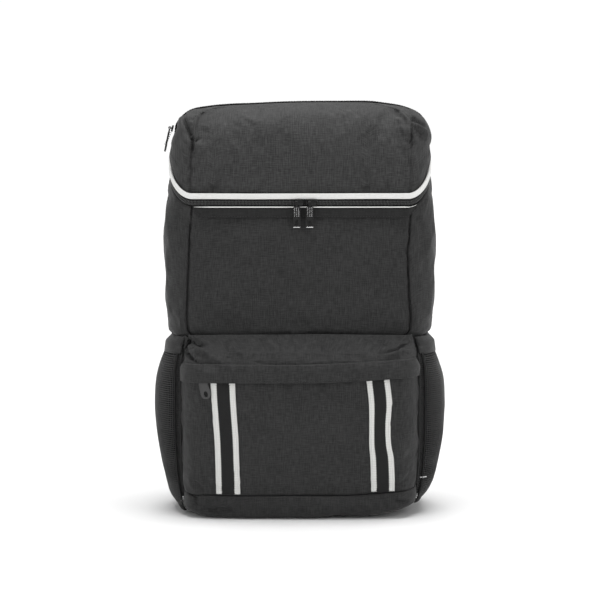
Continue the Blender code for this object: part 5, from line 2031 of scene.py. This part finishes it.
@dataclass
class FrontPocket:
    """Front pocket with its flap, its seams and the two striped ribbons."""

    form: BagForm
    wardrobe: Wardrobe
    rows: RowTree
    # Where the flap bulges over the pocket's pull, how wide and how far
    pull_x: float = -0.099
    pull_reach: float = 0.012
    pull_lift: float = 1.2 * MM
    creases: Sequence[Crease] = (
        Crease(-121, 187, -101, 184, 2.6, 3.6),
        Crease(-117, 181, -100, 177, 2.2, -1.6),
        Crease(-120, 174, -108, 167, 1.8, 3.6),
        Crease(-120.5, 186, -119.5, 174, 1.6, 2.6),
        Crease(-118, 180, -99, 175.5, 2.6, -1.3),
        Crease(-104, 164, -86, 163, 4.0, 0.9),
        Crease(-112, 171, -100, 164, 3.0, -0.9),
        Crease(84, 176, 116, 185, 2.0, 3.2),
        Crease(84, 172.5, 118, 180.5, 2.6, -1.4),
        Crease(78, 181, 112, 189, 4.2, 1.8),
        Crease(15, 171, 34, 182, 5.0, 1.1),
        Crease(28, 174, 46, 186, 4.0, 0.9),
        Crease(-85, 172, -45, 170, 6.0, 0.6),
        Crease(-30, 168, 5, 172, 7.0, -0.7),
        Crease(-47, 167.5, -40, 166.8, 1.2, 0.9),
        Crease(-113, 41, -103, 31, 3.0, 1.6),
        Crease(-108, 88, -111, 48, 5.0, 0.9),
        Crease(106, 60, 118, 70, 4.0, 1.1),
        Crease(-60, 120, 10, 132, 18.0, 0.9),
        Crease(-20, 70, 50, 84, 22.0, 0.8),
        Crease(40, 110, 70, 60, 16.0, 0.7),
    )

    def build(self) -> None:
        """Make the pocket, the flap, the stitches and the ribbons."""
        at = front_stations((Edge.SIDE, Edge.FRONT_CORNER, Edge.FRONT))
        share = np.concatenate([np.linspace(0, 0.78, 60), np.linspace(0.785, 1.0, 44)])[:, None]
        points = self.form.pocket(at, share)
        held = np.zeros(points.shape[:2], dtype=bool)
        held[:2] = held[-2:] = held[:, :2] = held[:, -2:] = True
        points = ClothRun().wrinkle(points, held)
        points = rumple(points, ((75, 60, 1.2), (28, 24, 0.3)), 21.0)
        points = press(points, self.creases)
        points[..., 2] += self.form.corner_lift(points) * np.clip(1 - points[..., 2] / 0.026, 0.0, 1.0)
        made = sheet_mesh("front_pocket_cloth", points, self.wardrobe.cloth, thick=1.4 * MM)
        settle(made, "ripstop_cloth", "front_pocket")
        skin = Skin(points)
        self.flap(skin)
        self.ribbons(skin)

    def flap_rise(self, x: np.ndarray) -> np.ndarray:
        """How much higher the flap hangs towards the right."""
        return self.form.flap_rise * np.maximum(x / (self.form.pocket_width / 2), 0.0) ** 1.5

    def flap(self, skin: Skin) -> None:
        """Flap over the pocket's zip, round the front and the corners.

        Args:
            skin: The cloth that it lies on.
        """
        form = self.form
        at = front_stations((Edge.FRONT_CORNER, Edge.FRONT))
        at = at.pick(3, len(at.share) - 3)
        share = np.full(len(at.share), 0.8)
        base = form.pocket(at, share)
        x1, y1 = outline(form.pocket_plan(share), at, -0.01)
        out = np.stack([x1, y1, base[:, 2]], -1) - base
        out[:, 2] = 0.0
        out /= np.linalg.norm(out, axis=1, keepdims=True)
        rise = self.flap_rise(base[:, 0])
        grid = []
        for share in np.linspace(0.0, 1.0, 26):
            lift = 0.9 * MM + 4.9 * MM * math.cos(share * math.pi / 2) ** 0.45
            row = []
            for i, point in enumerate(base):
                z = form.flap_low + rise[i] + share * form.flap_height
                start = np.array([point[0], point[1], z]) + out[i] * 0.03
                laid, _ = skin.drop(start, -out[i], 0.0)
                near_pull = math.exp(-(((point[0] - self.pull_x) / self.pull_reach) ** 2))
                over_pull = self.pull_lift * near_pull * math.sin(share * math.pi)
                row.append(laid + out[i] * (lift * (1 - 0.45 * abs(out[i][0])) + over_pull))
            grid.append(row)
        points = np.array(grid)
        points = rumple(points, ((40, 60, 0.5), (14, 20, 0.18)), 31.0)
        curl = np.linspace(0, 1, len(points))[:, None] ** 0.5
        points[..., 1] += (1 - curl) * 0.4 * MM
        made = sheet_mesh("pocket_flap_cloth", points, self.wardrobe.cloth, thick=1.4 * MM)
        settle(made, "ripstop_cloth", "pocket_flap")
        normals = grid_normals(points, False)
        seams = [Seam(points[row] + normals[row] * 0.12 * MM, normals[row]) for row in (3, -3)]
        settle(self.rows.run("flap_stitches", seams, STITCH, self.wardrobe.thread), "ripstop_cloth")

    def ribbons(self, skin: Skin) -> None:
        """Two ribbons, each following its own line down the pocket.

        Args:
            skin: The cloth that they lie on.
        """
        # Height, middle and width in millimetres, read down the front view
        lines = {
            "ribbon_left": (
                (27.5, -75.4, 24.8),
                (45, -75.6, 24.8),
                (66, -76.2, 24.4),
                (88, -77.0, 24.6),
                (108, -78.4, 24.6),
                (130, -79.8, 24.8),
                (149, -80.6, 25.0),
            ),
            "ribbon_right": (
                (30.0, 87.2, 24.2),
                (45, 86.8, 24.4),
                (66, 85.9, 23.9),
                (80, 84.0, 22.4),
                (100, 83.4, 21.4),
                (125, 83.9, 23.6),
                (153, 80.8, 23.8),
            ),
        }
        shares = np.linspace(-0.5, 0.5, 13)
        for name, marks in lines.items():
            curve = smooth_curve(np.array(marks) * MM, 90)
            grid = []
            for index, (z, x, width) in enumerate(curve):
                row = []
                for across in shares:
                    # Every other row reaches a little further out: a finely serrated edge
                    nudge = 0.28 * MM * (-1) ** index if abs(across) == 0.5 else 0.0
                    place = x + across * width + math.copysign(nudge, across)
                    point, _ = skin.from_front(place, z, 1.5 * MM)
                    row.append(point + np.array([0.0, -0.35 * MM * math.cos(across * math.pi), 0.0]))
                grid.append(row)
            points = np.array(grid)
            uv = np.stack(np.broadcast_arrays(shares * 25 * MM, curve[:, :1]), axis=-1)
            made = sheet_mesh(f"{name}_grosgrain", points, self.wardrobe.ribbon, thick=0.9 * MM, uv=uv)
            settle(made, "striped_ribbon", name)
            normals = grid_normals(points, False)
            seams = [Seam(points[:, c] + normals[:, c] * 0.1 * MM, normals[:, c]) for c in (1, 11)]
            stitch = self.rows.run(f"{name}_stitches", seams, RIBBON_STITCH, self.wardrobe.light_thread)
            settle(stitch, "striped_ribbon")


@dataclass
class BasePanel:
    """Bottom of the bag: a padded floor whose front edge wraps up as a band."""

    form: BagForm
    wardrobe: Wardrobe
    rows: RowTree
    creases: Sequence[Crease] = (
        Crease(-121, 32, -109, 25, 3.0, 2.6),
        Crease(-111, 26, -111, 14, 1.5, 2.6),
        Crease(-111, 14, -105, 13, 1.5, 1.8),
        Crease(-104, 8.5, -78, 12, 3.0, 1.7),
        Crease(-100, 14, -70, 17, 4.0, -1.0),
        Crease(98, 19, 112, 14.5, 2.6, 2.0),
        Crease(-8, 6, 8, 10, 4.0, 1.8),
        Crease(-95, 9, -84, 5, 1.8, 2.0),
        Crease(-86, 12, -70, 8, 2.0, 1.6),
        Crease(-50, 8, -20, 6, 4.0, 1.0),
        Crease(40, 7, 70, 10, 4.0, 1.2),
        Crease(20, 15, 90, 18, 6.0, -0.8),
    )

    def build(self) -> None:
        """Make the base's cloth and the stitches along its lip."""
        form = self.form
        at = ring_stations()
        foot = form.pocket_plan(np.array(0.0))
        plan = Plan(
            foot.half,
            foot.front,
            np.array(form.back_y),
            foot.front_corner,
            np.array(form.back_corner),
            foot.front_bow,
            np.array(0.0),
        )
        x, y = outline(plan, at)
        top = np.maximum(form.lip_top(x, y), form.floor)
        low, high = 0.4 * MM, 11.0 * MM
        rings = []
        for inset in (60.0, 30.0, 18.0):
            x, ring_y = outline(plan, at, np.minimum(inset * MM, 0.055))
            rings.append(np.stack([x, ring_y, np.full_like(x, low)], -1))
        for turn in np.linspace(0, math.pi / 2, 10):
            x, ring_y = outline(plan, at, high * (1 - math.sin(turn)))
            rise = np.minimum(low + high * 0.75 * (1 - math.cos(turn)), top)
            rings.append(np.stack([x, ring_y, rise], -1))
        last = rings[-1]
        for share in np.linspace(0.12, 1.0, 12):
            swell = 0.9 * MM * math.sin(math.pi * share)
            x, ring_y = outline(plan, at, -swell)
            rise = last[:, 2] + share * np.maximum(top - last[:, 2], 0.0)
            rings.append(np.stack([x, ring_y, rise], -1))
        for tuck in (0.6, 1.6, 3.0):
            x, ring_y = outline(plan, at, tuck * MM)
            rings.append(np.stack([x, ring_y, top - 0.1 * tuck * MM], -1))
        points = np.array(rings)
        wrapped = rumple(points, ((46, 18, 1.1), (16, 9, 0.35)), 41.0, closed=True)
        wrapped = press(wrapped, self.creases, closed=True)
        keep = (points[..., 2] <= low + 0.2 * MM)[..., None]
        points = np.where(keep, points, wrapped)
        points[..., 2] += form.corner_lift(points) * (1 - np.clip(points[..., 2] / 0.024, 0, 1))
        points[..., 2] = np.maximum(points[..., 2], low)
        made = sheet_mesh("base_panel_cloth", points, self.wardrobe.cloth, closed=True, caps=True)
        settle(made, "ripstop_cloth", "base_panel")
        front = front_stations((Edge.FRONT,))
        x, seam_y = outline(plan, front, -0.6 * MM)
        line = np.stack([x, seam_y, form.lip_top(x, seam_y) - 3.0 * MM], -1)
        seam = Seam(line, all_facing(len(line), FORWARD))
        settle(self.rows.run("base_stitches", [seam], STITCH, self.wardrobe.thread), "ripstop_cloth")


@dataclass
class SidePocket:
    """Net side pocket with a cloth hem along its mouth."""

    form: BagForm
    wardrobe: Wardrobe
    rows: RowTree
    net: NetTree
    side: int
    # How far each net's low edge is above the CAD's
    low_left: float = 2.5 * MM
    low_right: float = 11.0 * MM
    # Size of a mesh, and how far the cloth runs from front to back
    pitch: float = 2.3 * MM
    girth: float = 0.165
    # Share of the girth at which the cloth folded behind the net starts
    fold_start: float = 0.22
    # How far the hem's cloth runs on above its upper edge, leaning in to the wall
    tuck: float = 5.0 * MM
    # Rows and columns of the hem
    hem_rows: int = 12
    hem_cols: int = 60
    # Bartack near the front of the right pocket
    tack_x: tuple[float, float] = (0.1270, 0.1335)
    tack_z: float = 0.0415

    def build(self) -> None:
        """Make the net, its bound edges and the hem."""
        form = self.form
        word = "left" if self.side < 0 else "right"
        top = form.hem_top - form.hem_height + 0.5 * MM
        rows = int((top - form.mesh_low) / self.pitch) + 1
        cols = int(self.girth / self.pitch)
        height = np.linspace(0, 1, rows)[:, None]
        low = form.mesh_low + (self.low_left if self.side < 0 else self.low_right)
        z = low + height * (top - low)
        marks = np.array(form.net_left if self.side < 0 else form.net_right)
        even = smooth_curve(np.stack([marks[:, 0], marks[:, 1], marks[:, 1]], -1), 200)
        reach = form.body_width / 2 * np.interp(height, even[:, 0], even[:, 1])
        depth = np.linspace(0, 1, cols)[None, :]
        points = form.side_cover(self.side, depth, z, reach, 1.2 * MM)
        points = self.folds(points)
        strands = sheet_mesh(f"side_net_{word}", points, self.wardrobe.net)
        self.net.run(strands, 0.34 * MM, self.wardrobe.net)
        settle(strands, "side_mesh", f"mesh_pocket_{word}")
        start = int(cols * self.fold_start)
        inner = points[:, start:].copy()
        inner[..., 0] -= self.side * 1.6 * MM
        made = sheet_mesh(f"side_fold_{word}", inner, self.wardrobe.cloth, thick=0.8 * MM)
        settle(made, "side_mesh")
        wide, finish = 5.0 * MM, self.wardrobe.tape
        for tag, column in (("front", points[:, 1]), ("back", points[:, -2])):
            out = all_facing(len(column), (self.side, 0.0, 0.0))
            made = tube_mesh(f"net_binding_{tag}_{word}", column, out, wide, 1.3 * MM, finish, power=4.0)
            settle(made, "side_mesh")
        out = all_facing(cols, (self.side, 0.0, -0.6))
        made = tube_mesh(f"net_binding_low_{word}", points[0], out, 6.0 * MM, 1.4 * MM, finish, power=4.0)
        settle(made, "side_mesh")
        self.hem(word)
        if self.side > 0:
            self.bartack(Skin(points))

    def bartack(self, skin: Skin) -> None:
        """White tack of thread low on the right pocket, near the front.

        Args:
            skin: The cloth that it lies on.
        """
        laid = [skin.from_front(x, self.tack_z, 1.9 * MM) for x in np.linspace(*self.tack_x, 8)]
        path = np.array([p for p, _ in laid])
        out = np.array([n for _, n in laid])
        made = tube_mesh("net_bartack_right", path, out, 1.3 * MM, 0.9 * MM, self.wardrobe.light_thread)
        settle(made, "side_mesh")

    def folds(self, points: np.ndarray) -> np.ndarray:
        """Hang the net in soft upright folds.

        Args:
            points: Rows of points.

        Returns:
            The moved points.
        """
        wave = noise_field(points, (5.0, 34.0, 7.0), 51.0 + self.side)
        fade = np.sin(np.linspace(0, math.pi, points.shape[1]))[None, :] ** 0.6
        made = points.copy()
        made[..., 0] += self.side * wave * 2.2 * MM * fade
        return made

    def hem(self, word: str) -> None:
        """Cloth band folded over the mouth of the net, stitched along both edges.

        Args:
            word: The side's name.
        """
        form, count = self.form, self.hem_rows
        depth = np.linspace(0, 1, self.hem_cols)
        z = np.linspace(form.hem_top - form.hem_height, form.hem_top + self.tuck, count)[:, None]
        lean = np.interp(np.linspace(0, 1, count), (0.0, 0.55, 1.0), (1.5 * MM, 0.0, -8.5 * MM))
        points = form.side_cover(self.side, depth[None, :], z, form.hem_out + lean[:, None], 1.8 * MM)
        points[..., 2] += depth**1.5 * (2.0 if self.side > 0 else 0.5) * MM
        bow = np.sin(np.linspace(0, math.pi, count))[:, None]
        points[..., 0] += self.side * 0.5 * MM * bow
        made = sheet_mesh(f"net_hem_{word}", points, self.wardrobe.cloth, thick=1.6 * MM)
        made.modifiers["thickness"].offset = -1.0 if self.side < 0 else 1.0
        settle(made, "ripstop_cloth", f"mesh_hem_{word}")
        out = all_facing(self.hem_cols, (self.side, 0.0, 0.0))
        lines = [Seam(points[row] + out * 0.15 * MM, out) for row in (1, 7)]
        settle(self.rows.run(f"hem_stitches_{word}", lines, STITCH, self.wardrobe.thread), "ripstop_cloth")


@dataclass
class BackPanel:
    """Padded back of spacer mesh with a hollow channel down its middle."""

    form: BagForm
    wardrobe: Wardrobe
    rows: RowTree
    thick: float = 0.009
    width: float = 0.220
    low: float = 0.030
    top: float = 0.378
    spine: float = 0.022

    def build(self) -> None:
        """Make the pad, its binding and the yoke above it."""
        half, tall = self.width / 2, self.top - self.low
        x = np.linspace(half, -half, 96)[None, :]
        rise = np.linspace(0, tall, 120)[:, None]
        edge = np.minimum(np.minimum(half - np.abs(x), rise), tall - rise)
        round_off = superellipse(1 - np.clip(edge / (1.6 * self.thick), 0, 1), 2.3)
        channel = np.exp(-((x / (self.spine * 0.5)) ** 4))
        quilts = np.zeros_like(edge)
        for line in (0.33, 0.66):
            quilts = quilts + np.exp(-(((rise - tall * line) / 4e-3) ** 2))
        quilted = 1 - 0.38 * np.clip(quilts, 0, 1)
        deep = self.thick * (0.22 + 0.78 * round_off) * (1 - 0.55 * channel) * quilted
        y = self.form.back_y + GAP + deep
        points = np.stack(np.broadcast_arrays(x, y, self.low + rise), axis=-1)
        points = rumple(points, ((40, 40, 0.5),), 61.0)
        made = sheet_mesh("back_pad_spacer", points, self.wardrobe.spacer, thick=1.8 * MM)
        settle(made, "spacer_mesh", "back_pad")
        self.binding(points)
        self.yoke()

    def binding(self, points: np.ndarray) -> None:
        """Tape sewn round the pad's edge.

        Args:
            points: Rows of points.
        """
        sides = (points[2, 2:-2], points[2:-2, -3], points[-3, -3:2:-1], points[-2:2:-1, 2])
        ring = np.concatenate(sides)
        out = all_facing(len(ring), BACKWARD)
        path, finish = ring + out * 0.3 * MM, self.wardrobe.tape
        made = tube_mesh("back_pad_binding", path, out, 7.0 * MM, 1.6 * MM, finish, power=4.0)
        settle(made, "spacer_mesh")

    def yoke(self) -> None:
        """Cloth patch that the straps' top ends are sewn under."""
        low, high = box_of("strap_yoke")
        x = np.linspace(high[0], low[0], 50)[None, :]
        z = np.linspace(low[2], high[2], 8)[:, None]
        y = high[1] + 0.3 * MM * np.sin(np.linspace(0, math.pi, 8))[:, None]
        points = np.stack(np.broadcast_arrays(x, y, z), axis=-1)
        made = sheet_mesh("strap_yoke_cloth", points, self.wardrobe.cloth, thick=1.8 * MM)
        settle(made, "ripstop_cloth", "strap_yoke")
        out = all_facing(50, BACKWARD)
        lines = [Seam(points[row] + out * 0.15 * MM, out) for row in (1, 6)]
        settle(self.rows.run("yoke_stitches", lines, STITCH, self.wardrobe.thread), "ripstop_cloth")


@dataclass
class Harness:
    """Shoulder straps, their webbing, ladder adjusters and the grab handle."""

    form: BagForm
    wardrobe: Wardrobe
    rows: RowTree
    nodes: dict[str, bpy.types.Object]
    # Shares of the length, the splay, the bow and the drop of the strap: as in the CAD
    strap_rows: tuple = (
        (0.000, -0.035, 0.000, 0.80),
        (0.026, 0.333, 0.032, 0.88),
        (0.077, 0.667, 0.131, 0.96),
        (0.205, 0.930, 0.295, 1.00),
        (0.410, 1.000, 0.497, 1.00),
        (0.667, 0.877, 0.690, 0.94),
        (0.872, 0.614, 0.862, 0.84),
        (1.000, 0.368, 1.000, 0.70),
    )
    strap_width: float = 0.056
    strap_thick: float = 0.010
    top_x: float = 0.059
    splay: float = 0.039
    bow: float = 0.0285
    drop: float = 0.2325
    top_z: float = 0.3904
    web_width: float = 0.025
    count: int = 90

    def build(self) -> None:
        """Make both straps, their hardware and the handle."""
        for side, word in ((-1, "left"), (1, "right")):
            self.strap(side, word)
            self.hardware(word)
        self.handle()

    def strap(self, side: int, word: str) -> None:
        """Padded strap with stitched edges and a line of webbing on its outer face.

        Args:
            side: -1 for the left and 1 for the right.
            word: The side's name.
        """
        splay, bow, drop, width = np.array(self.strap_rows).T
        off = self.form.back_y + 0.009 + self.strap_thick / 2
        x, y = side * (self.top_x + self.splay * splay), off + self.bow * bow
        path = smooth_curve(np.stack([x, y, self.top_z - self.drop * drop], -1), self.count)
        widths = smooth_curve(np.stack([width, width, width], -1), self.count)[:, 0] * self.strap_width
        along = np.gradient(path, axis=0)
        out = np.stack([np.zeros(self.count), -along[:, 2], along[:, 1]], -1)
        out /= np.linalg.norm(out, axis=1, keepdims=True)
        thick = np.full(self.count, self.strap_thick * 0.94)
        thick[:4] *= (0.55, 0.7, 0.85, 0.95)
        thick[-5:] *= (0.97, 0.92, 0.84, 0.72, 0.5)
        finish = self.wardrobe.spacer
        made = tube_mesh(f"strap_pad_{word}", path, out, widths * 0.985, thick, finish, power=3.4, sides=40)
        settle(made, "ripstop_cloth", f"strap_{word}")
        face = path + out * (self.strap_thick / 2 + 0.1 * MM)
        line, way = face[3:-3], out[3:-3]
        wide, finish = self.web_width, self.wardrobe.webbing
        made = tube_mesh(f"strap_face_{word}", line, way, wide, 1.2 * MM, finish, power=5.0, sides=12)
        settle(made, "black_webbing")
        across = np.array([1.0, 0.0, 0.0])
        seams = []
        for edge in (-1, 1):
            line = path + across * edge * (widths * 0.43)[:, None] + out * (self.strap_thick * 0.455)
            seams.append(Seam(line[3:-3], out[3:-3]))
            web = face + across * edge * (self.web_width / 2 - 2.2 * MM) + out * 0.65 * MM
            seams.append(Seam(web[4:-4], out[4:-4]))
        made = self.rows.run(f"strap_stitches_{word}", seams, STRAP_STITCH, self.wardrobe.thread)
        settle(made, "ripstop_cloth")

    def hardware(self, word: str) -> None:
        """Ladder adjuster, the short loop above it and the long webbing below.

        Args:
            word: The side's name.
        """
        node = f"adjuster_{word}"
        low, high = box_of(node)
        middle = (low + high) / 2
        made = softened_copy(self.nodes[node], f"ladder_{node}", 0.7 * MM, self.wardrobe.acetal)
        settle(made, "black_plastic", f"adjuster_{word}")
        for node, piece in (("strap_loop", "web_loop"), ("strap_web", "web_long")):
            node, piece = f"{node}_{word}", f"{piece}_{word}"
            made = softened_copy(self.nodes[node], piece, 0.3 * MM, self.wardrobe.webbing)
            map_by_place(made, middle[0])
            settle(made, "black_webbing", node)

    def handle(self) -> None:
        """Grab handle: webbing folded into a round grip in its middle."""
        low, high = box_of("grab_handle")
        turn = np.linspace(0, math.pi, 70)
        arch = np.sin(turn)
        half, rise = (high[0] - low[0]) / 2 - 1.5 * MM, high[2] - low[2] - 1.5 * MM
        middle = np.full(70, (low[1] + high[1]) / 2)
        path = np.stack([-half * np.cos(turn), middle, low[2] + rise * arch**0.75], -1)
        out = np.stack([path[:, 0] / half, np.zeros(70), np.maximum(arch, 0.02)], -1)
        wide = (high[1] - low[1]) * (1 - 0.22 * arch**2)
        thick = 3.0 * MM * (1 + 0.35 * arch**2)
        finish = self.wardrobe.webbing
        made = tube_mesh("grab_handle_webbing", path, out, wide, thick, finish, power=4.0, sides=20)
        settle(made, "black_webbing", "grab_handle")


def dress(made: bpy.types.Object, finish: bpy.types.Material) -> None:
    """Give every material slot of a CAD node a finish."""
    if not made.material_slots:
        made.data.materials.append(finish)
    for holder in made.material_slots:
        holder.material = finish


def softened_copy(
    source: bpy.types.Object, name: str, bevel: float, finish: bpy.types.Material
) -> bpy.types.Object:
    """Copy a CAD node's mesh, merge it and round its edges.

    Args:
        source: The CAD node.
        name: Name of the new piece.
        bevel: Width of the rounding.
        finish: Its material.

    Returns:
        The new piece.
    """
    work = bmesh.new()
    for part in [source, *source.children_recursive]:
        if part.type == "MESH":
            work.from_mesh(part.data)
    bmesh.ops.remove_doubles(work, verts=work.verts, dist=1e-6)
    bmesh.ops.dissolve_limit(work, angle_limit=math.radians(3), verts=work.verts, edges=work.edges)
    bmesh.ops.recalc_face_normals(work, faces=work.faces)
    mesh = bpy.data.meshes.new(name)
    work.to_mesh(mesh)
    work.free()
    mesh.materials.clear()
    mesh.materials.append(finish)
    for polygon in mesh.polygons:
        polygon.material_index = 0
    mesh.shade_smooth()
    made = bpy.data.objects.new(name, mesh)
    bpy.context.scene.collection.objects.link(made)
    rounding = made.modifiers.new("rounding", "BEVEL")
    rounding.width = bevel
    rounding.segments = 3
    rounding.limit_method = "ANGLE"
    rounding.angle_limit = math.radians(30)
    rounding.harden_normals = False
    return plain_mesh(made)


def map_by_place(made: bpy.types.Object, centre_x: float) -> None:
    """Map webbing that runs up and down: U across from its middle, V along its height.

    Args:
        made: The object.
        centre_x: X of the webbing's middle.
    """
    mesh = made.data
    layer = mesh.uv_layers.active or mesh.uv_layers.new(name="UVMap")
    for loop in mesh.loops:
        place = mesh.vertices[loop.vertex_index].co
        layer.data[loop.index].uv = (place.x - centre_x, place.z + 0.7 * place.y)


@dataclass
class Hardware:
    """Sliders and pulls of the zips."""

    wardrobe: Wardrobe
    rows: RowTree
    nodes: dict[str, bpy.types.Object]
    # Distance between the three rows of studs on a pull
    stud_rows: tuple[float, float, float] = (-2.2 * MM, 0.0, 2.2 * MM)

    def build(self) -> None:
        """Dress the sliders and pulls and stud the pulls' faces."""
        for node in ("lid_slider_left", "lid_slider_right", "lid_pocket_slider", "pocket_slider"):
            made = softened_copy(self.nodes[node], f"{node}_cast", 0.35 * MM, self.wardrobe.metal)
            settle(made, "black_metal", node)
        for side in ("left", "right"):
            self.pull(f"lid_pull_{side}", f"lid_tab_{side}")
        self.side_pull()
        node = self.nodes["pocket_pull"]
        made = softened_copy(node, "pocket_pull_moulded", 0.25 * MM, self.wardrobe.rubber)
        made.data.transform(Matrix.Translation((-4.2 * MM, 0.0, -2.0 * MM)))
        settle(made, "black_metal", "pocket_pull")
        dress(self.nodes["pocket_zip"], self.wardrobe.tape)

    def pull(self, node: str, body: str) -> None:
        """Lid pull with three rows of studs and a rim, both in the light zinc that paints their highlights.

        Args:
            node: The CAD node's name.
            body: The body that it rides on.
        """
        low, high = box_of(node)
        made = softened_copy(self.nodes[node], f"{node}_cast", 0.3 * MM, self.wardrobe.metal)
        settle(made, "black_metal", node, body=body)
        middle, front = (low[0] + high[0]) / 2, (low[1] + high[1]) / 2 - 0.8 * MM
        z = np.linspace(high[2] - 15.6 * MM, high[2] - 7.2 * MM, 5)
        lines = []
        for shift in self.stud_rows:
            path = np.stack([np.full(5, middle + shift), np.full(5, front), z], -1)
            lines.append(Seam(path, all_facing(5, FORWARD)))
        # Studs in the light zinc: painted highlights on the knurl
        studs = self.rows.run(f"{node}_studs", lines, STUD, self.wardrobe.bright)
        settle(studs, "black_metal", body=body)
        # Rim along the pull's foot in the light zinc: a painted highlight
        x = np.linspace(low[0] + 0.6 * MM, high[0] - 0.6 * MM, 9)
        path = np.stack([x, np.full(9, front + 0.1 * MM), np.full(9, low[2] + 0.75 * MM)], -1)
        out, finish = all_facing(9, FORWARD), self.wardrobe.bright
        rim = tube_mesh(f"{node}_rim", path, out, 0.9 * MM, 0.7 * MM, finish, power=2.6)
        settle(rim, "black_metal", body=body)

    def side_pull(self) -> None:
        """Pull of the lid pocket, hanging at the lid's left."""
        node, body = "lid_pocket_pull", "lid_pocket_tab"
        made = softened_copy(self.nodes[node], f"{node}_cast", 0.3 * MM, self.wardrobe.metal)
        settle(made, "black_metal", node, body=body)
        low, high = box_of(node)
        middle = (low[1] + high[1]) / 2
        top = np.array([high[0] - 1.2 * MM, middle, high[2] - 7.0 * MM])
        foot = np.array([low[0] + 1.6 * MM, middle, low[2] + 8.0 * MM])
        way = np.array([foot[2] - top[2], 0.0, top[0] - foot[0]])
        way /= np.linalg.norm(way)
        lines = []
        for turn in (-1, 1):
            for shift in self.stud_rows:
                path = np.linspace(top, foot, 6) + way * turn * 0.75 * MM + np.array([0.0, shift, 0.0])
                lines.append(Seam(path, all_facing(6, way * turn)))
        studs = self.rows.run(f"{node}_studs", lines, STUD, self.wardrobe.metal)
        settle(studs, "black_metal", body=body)


@dataclass
class Studio:
    """Camera at the photograph's angle, white floor and backdrop, and soft lights."""

    distance: float = 2.0
    elevation: float = 4.5
    lens: float = 110.2
    target_z: float = 0.2256
    key: float = 3.0
    key_from: tuple[float, float, float] = (0.06, 0.14, 1.5)
    # Soft boxes: name, place, size in metres and power in watts
    boxes: tuple = (
        ("left_box", (-1.4, -1.5, 1.1), 0.9, 5.0),
        ("right_box", (1.5, -1.2, 1.2), 0.9, 7.0),
    )

    def build(self) -> None:
        """Place the camera, the floor and the lights."""
        scene = bpy.context.scene
        scene.view_settings.view_transform = "Standard"
        camera = bpy.data.cameras.new("camera")
        camera.lens = self.lens
        camera.sensor_width = 36.0
        camera.clip_end = 30.0
        holder = bpy.data.objects.new("camera", camera)
        scene.collection.objects.link(holder)
        tilt = math.radians(self.elevation)
        high = self.target_z + self.distance * math.sin(tilt)
        place = Vector((0.0, -self.distance * math.cos(tilt), high))
        holder.location = place
        aim = Vector((0.0, 0.0, self.target_z)) - place
        holder.rotation_euler = aim.to_track_quat("-Z", "Y").to_euler()
        scene.camera = holder
        self.floor()
        self.lights()

    def floor(self) -> None:
        """White floor that runs past the horizon."""
        reach, steps = 30.0, 96
        turn = np.linspace(0, 2 * math.pi, steps, endpoint=False)
        verts = np.stack([reach * np.cos(turn), reach * np.sin(turn), np.zeros(steps)], -1)
        finish = PlainFinish("white_seamless_paper", "f0f0f0", 0.9, grain=0.3, relief=0.0).make()
        add_mesh("floor", verts, [tuple(range(steps))], finish)

    def lights(self) -> None:
        """White surround at eye level, dimmer overhead, and a broad soft key from above."""
        world = bpy.data.worlds.new("studio")
        world.use_nodes = True
        nodes, links = world.node_tree.nodes, world.node_tree.links
        way = nodes.new("ShaderNodeTexCoord")
        axes = nodes.new("ShaderNodeSeparateXYZ")
        fade = nodes.new("ShaderNodeMapRange")
        for name, value in (("From Min", 0.10), ("From Max", 0.40), ("To Min", 1.02), ("To Max", 0.42)):
            fade.inputs[name].default_value = value
        links.new(way.outputs["Generated"], axes.inputs[0])
        links.new(axes.outputs["Z"], fade.inputs["Value"])
        links.new(fade.outputs["Result"], nodes["Background"].inputs["Strength"])
        nodes["Background"].inputs["Color"].default_value = (1.0, 1.0, 1.0, 1.0)
        bpy.context.scene.world = world
        key = bpy.data.lights.new("overhead_key", "SUN")
        key.energy = self.key
        key.angle = math.radians(50)
        holder = bpy.data.objects.new("overhead_key", key)
        aim = Vector((0.0, 0.0, 0.0)) - Vector(self.key_from)
        holder.rotation_euler = aim.to_track_quat("-Z", "Y").to_euler()
        bpy.context.scene.collection.objects.link(holder)
        for name, place, size, power in self.boxes:
            lamp = bpy.data.lights.new(name, "AREA")
            lamp.shape = "SQUARE"
            lamp.size = size
            lamp.energy = power
            holder = bpy.data.objects.new(name, lamp)
            holder.location = place
            aim = Vector((0.0, 0.0, 0.2)) - Vector(place)
            holder.rotation_euler = aim.to_track_quat("-Z", "Y").to_euler()
            bpy.context.scene.collection.objects.link(holder)


def main() -> None:
    """Load the frame and build every sub-assembly in order."""
    logging.basicConfig(level=logging.INFO, format="%(message)s")
    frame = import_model()
    Studio().build()
    form = BagForm()
    wardrobe = Wardrobe()
    rows, net = RowTree(), NetTree()
    Compartment(form, wardrobe).build()
    lid = Lid(form, wardrobe).build()
    ZipLine(form, wardrobe, rows).build()
    CrownZip(form, wardrobe, rows, lid).build()
    FrontPocket(form, wardrobe, rows).build()
    BasePanel(form, wardrobe, rows).build()
    for side in (-1, 1):
        SidePocket(form, wardrobe, rows, net, side).build()
    BackPanel(form, wardrobe, rows).build()
    Harness(form, wardrobe, rows, frame["nodes"]).build()
    Hardware(wardrobe, rows, frame["nodes"]).build()


if __name__ == "__main__":
    main()
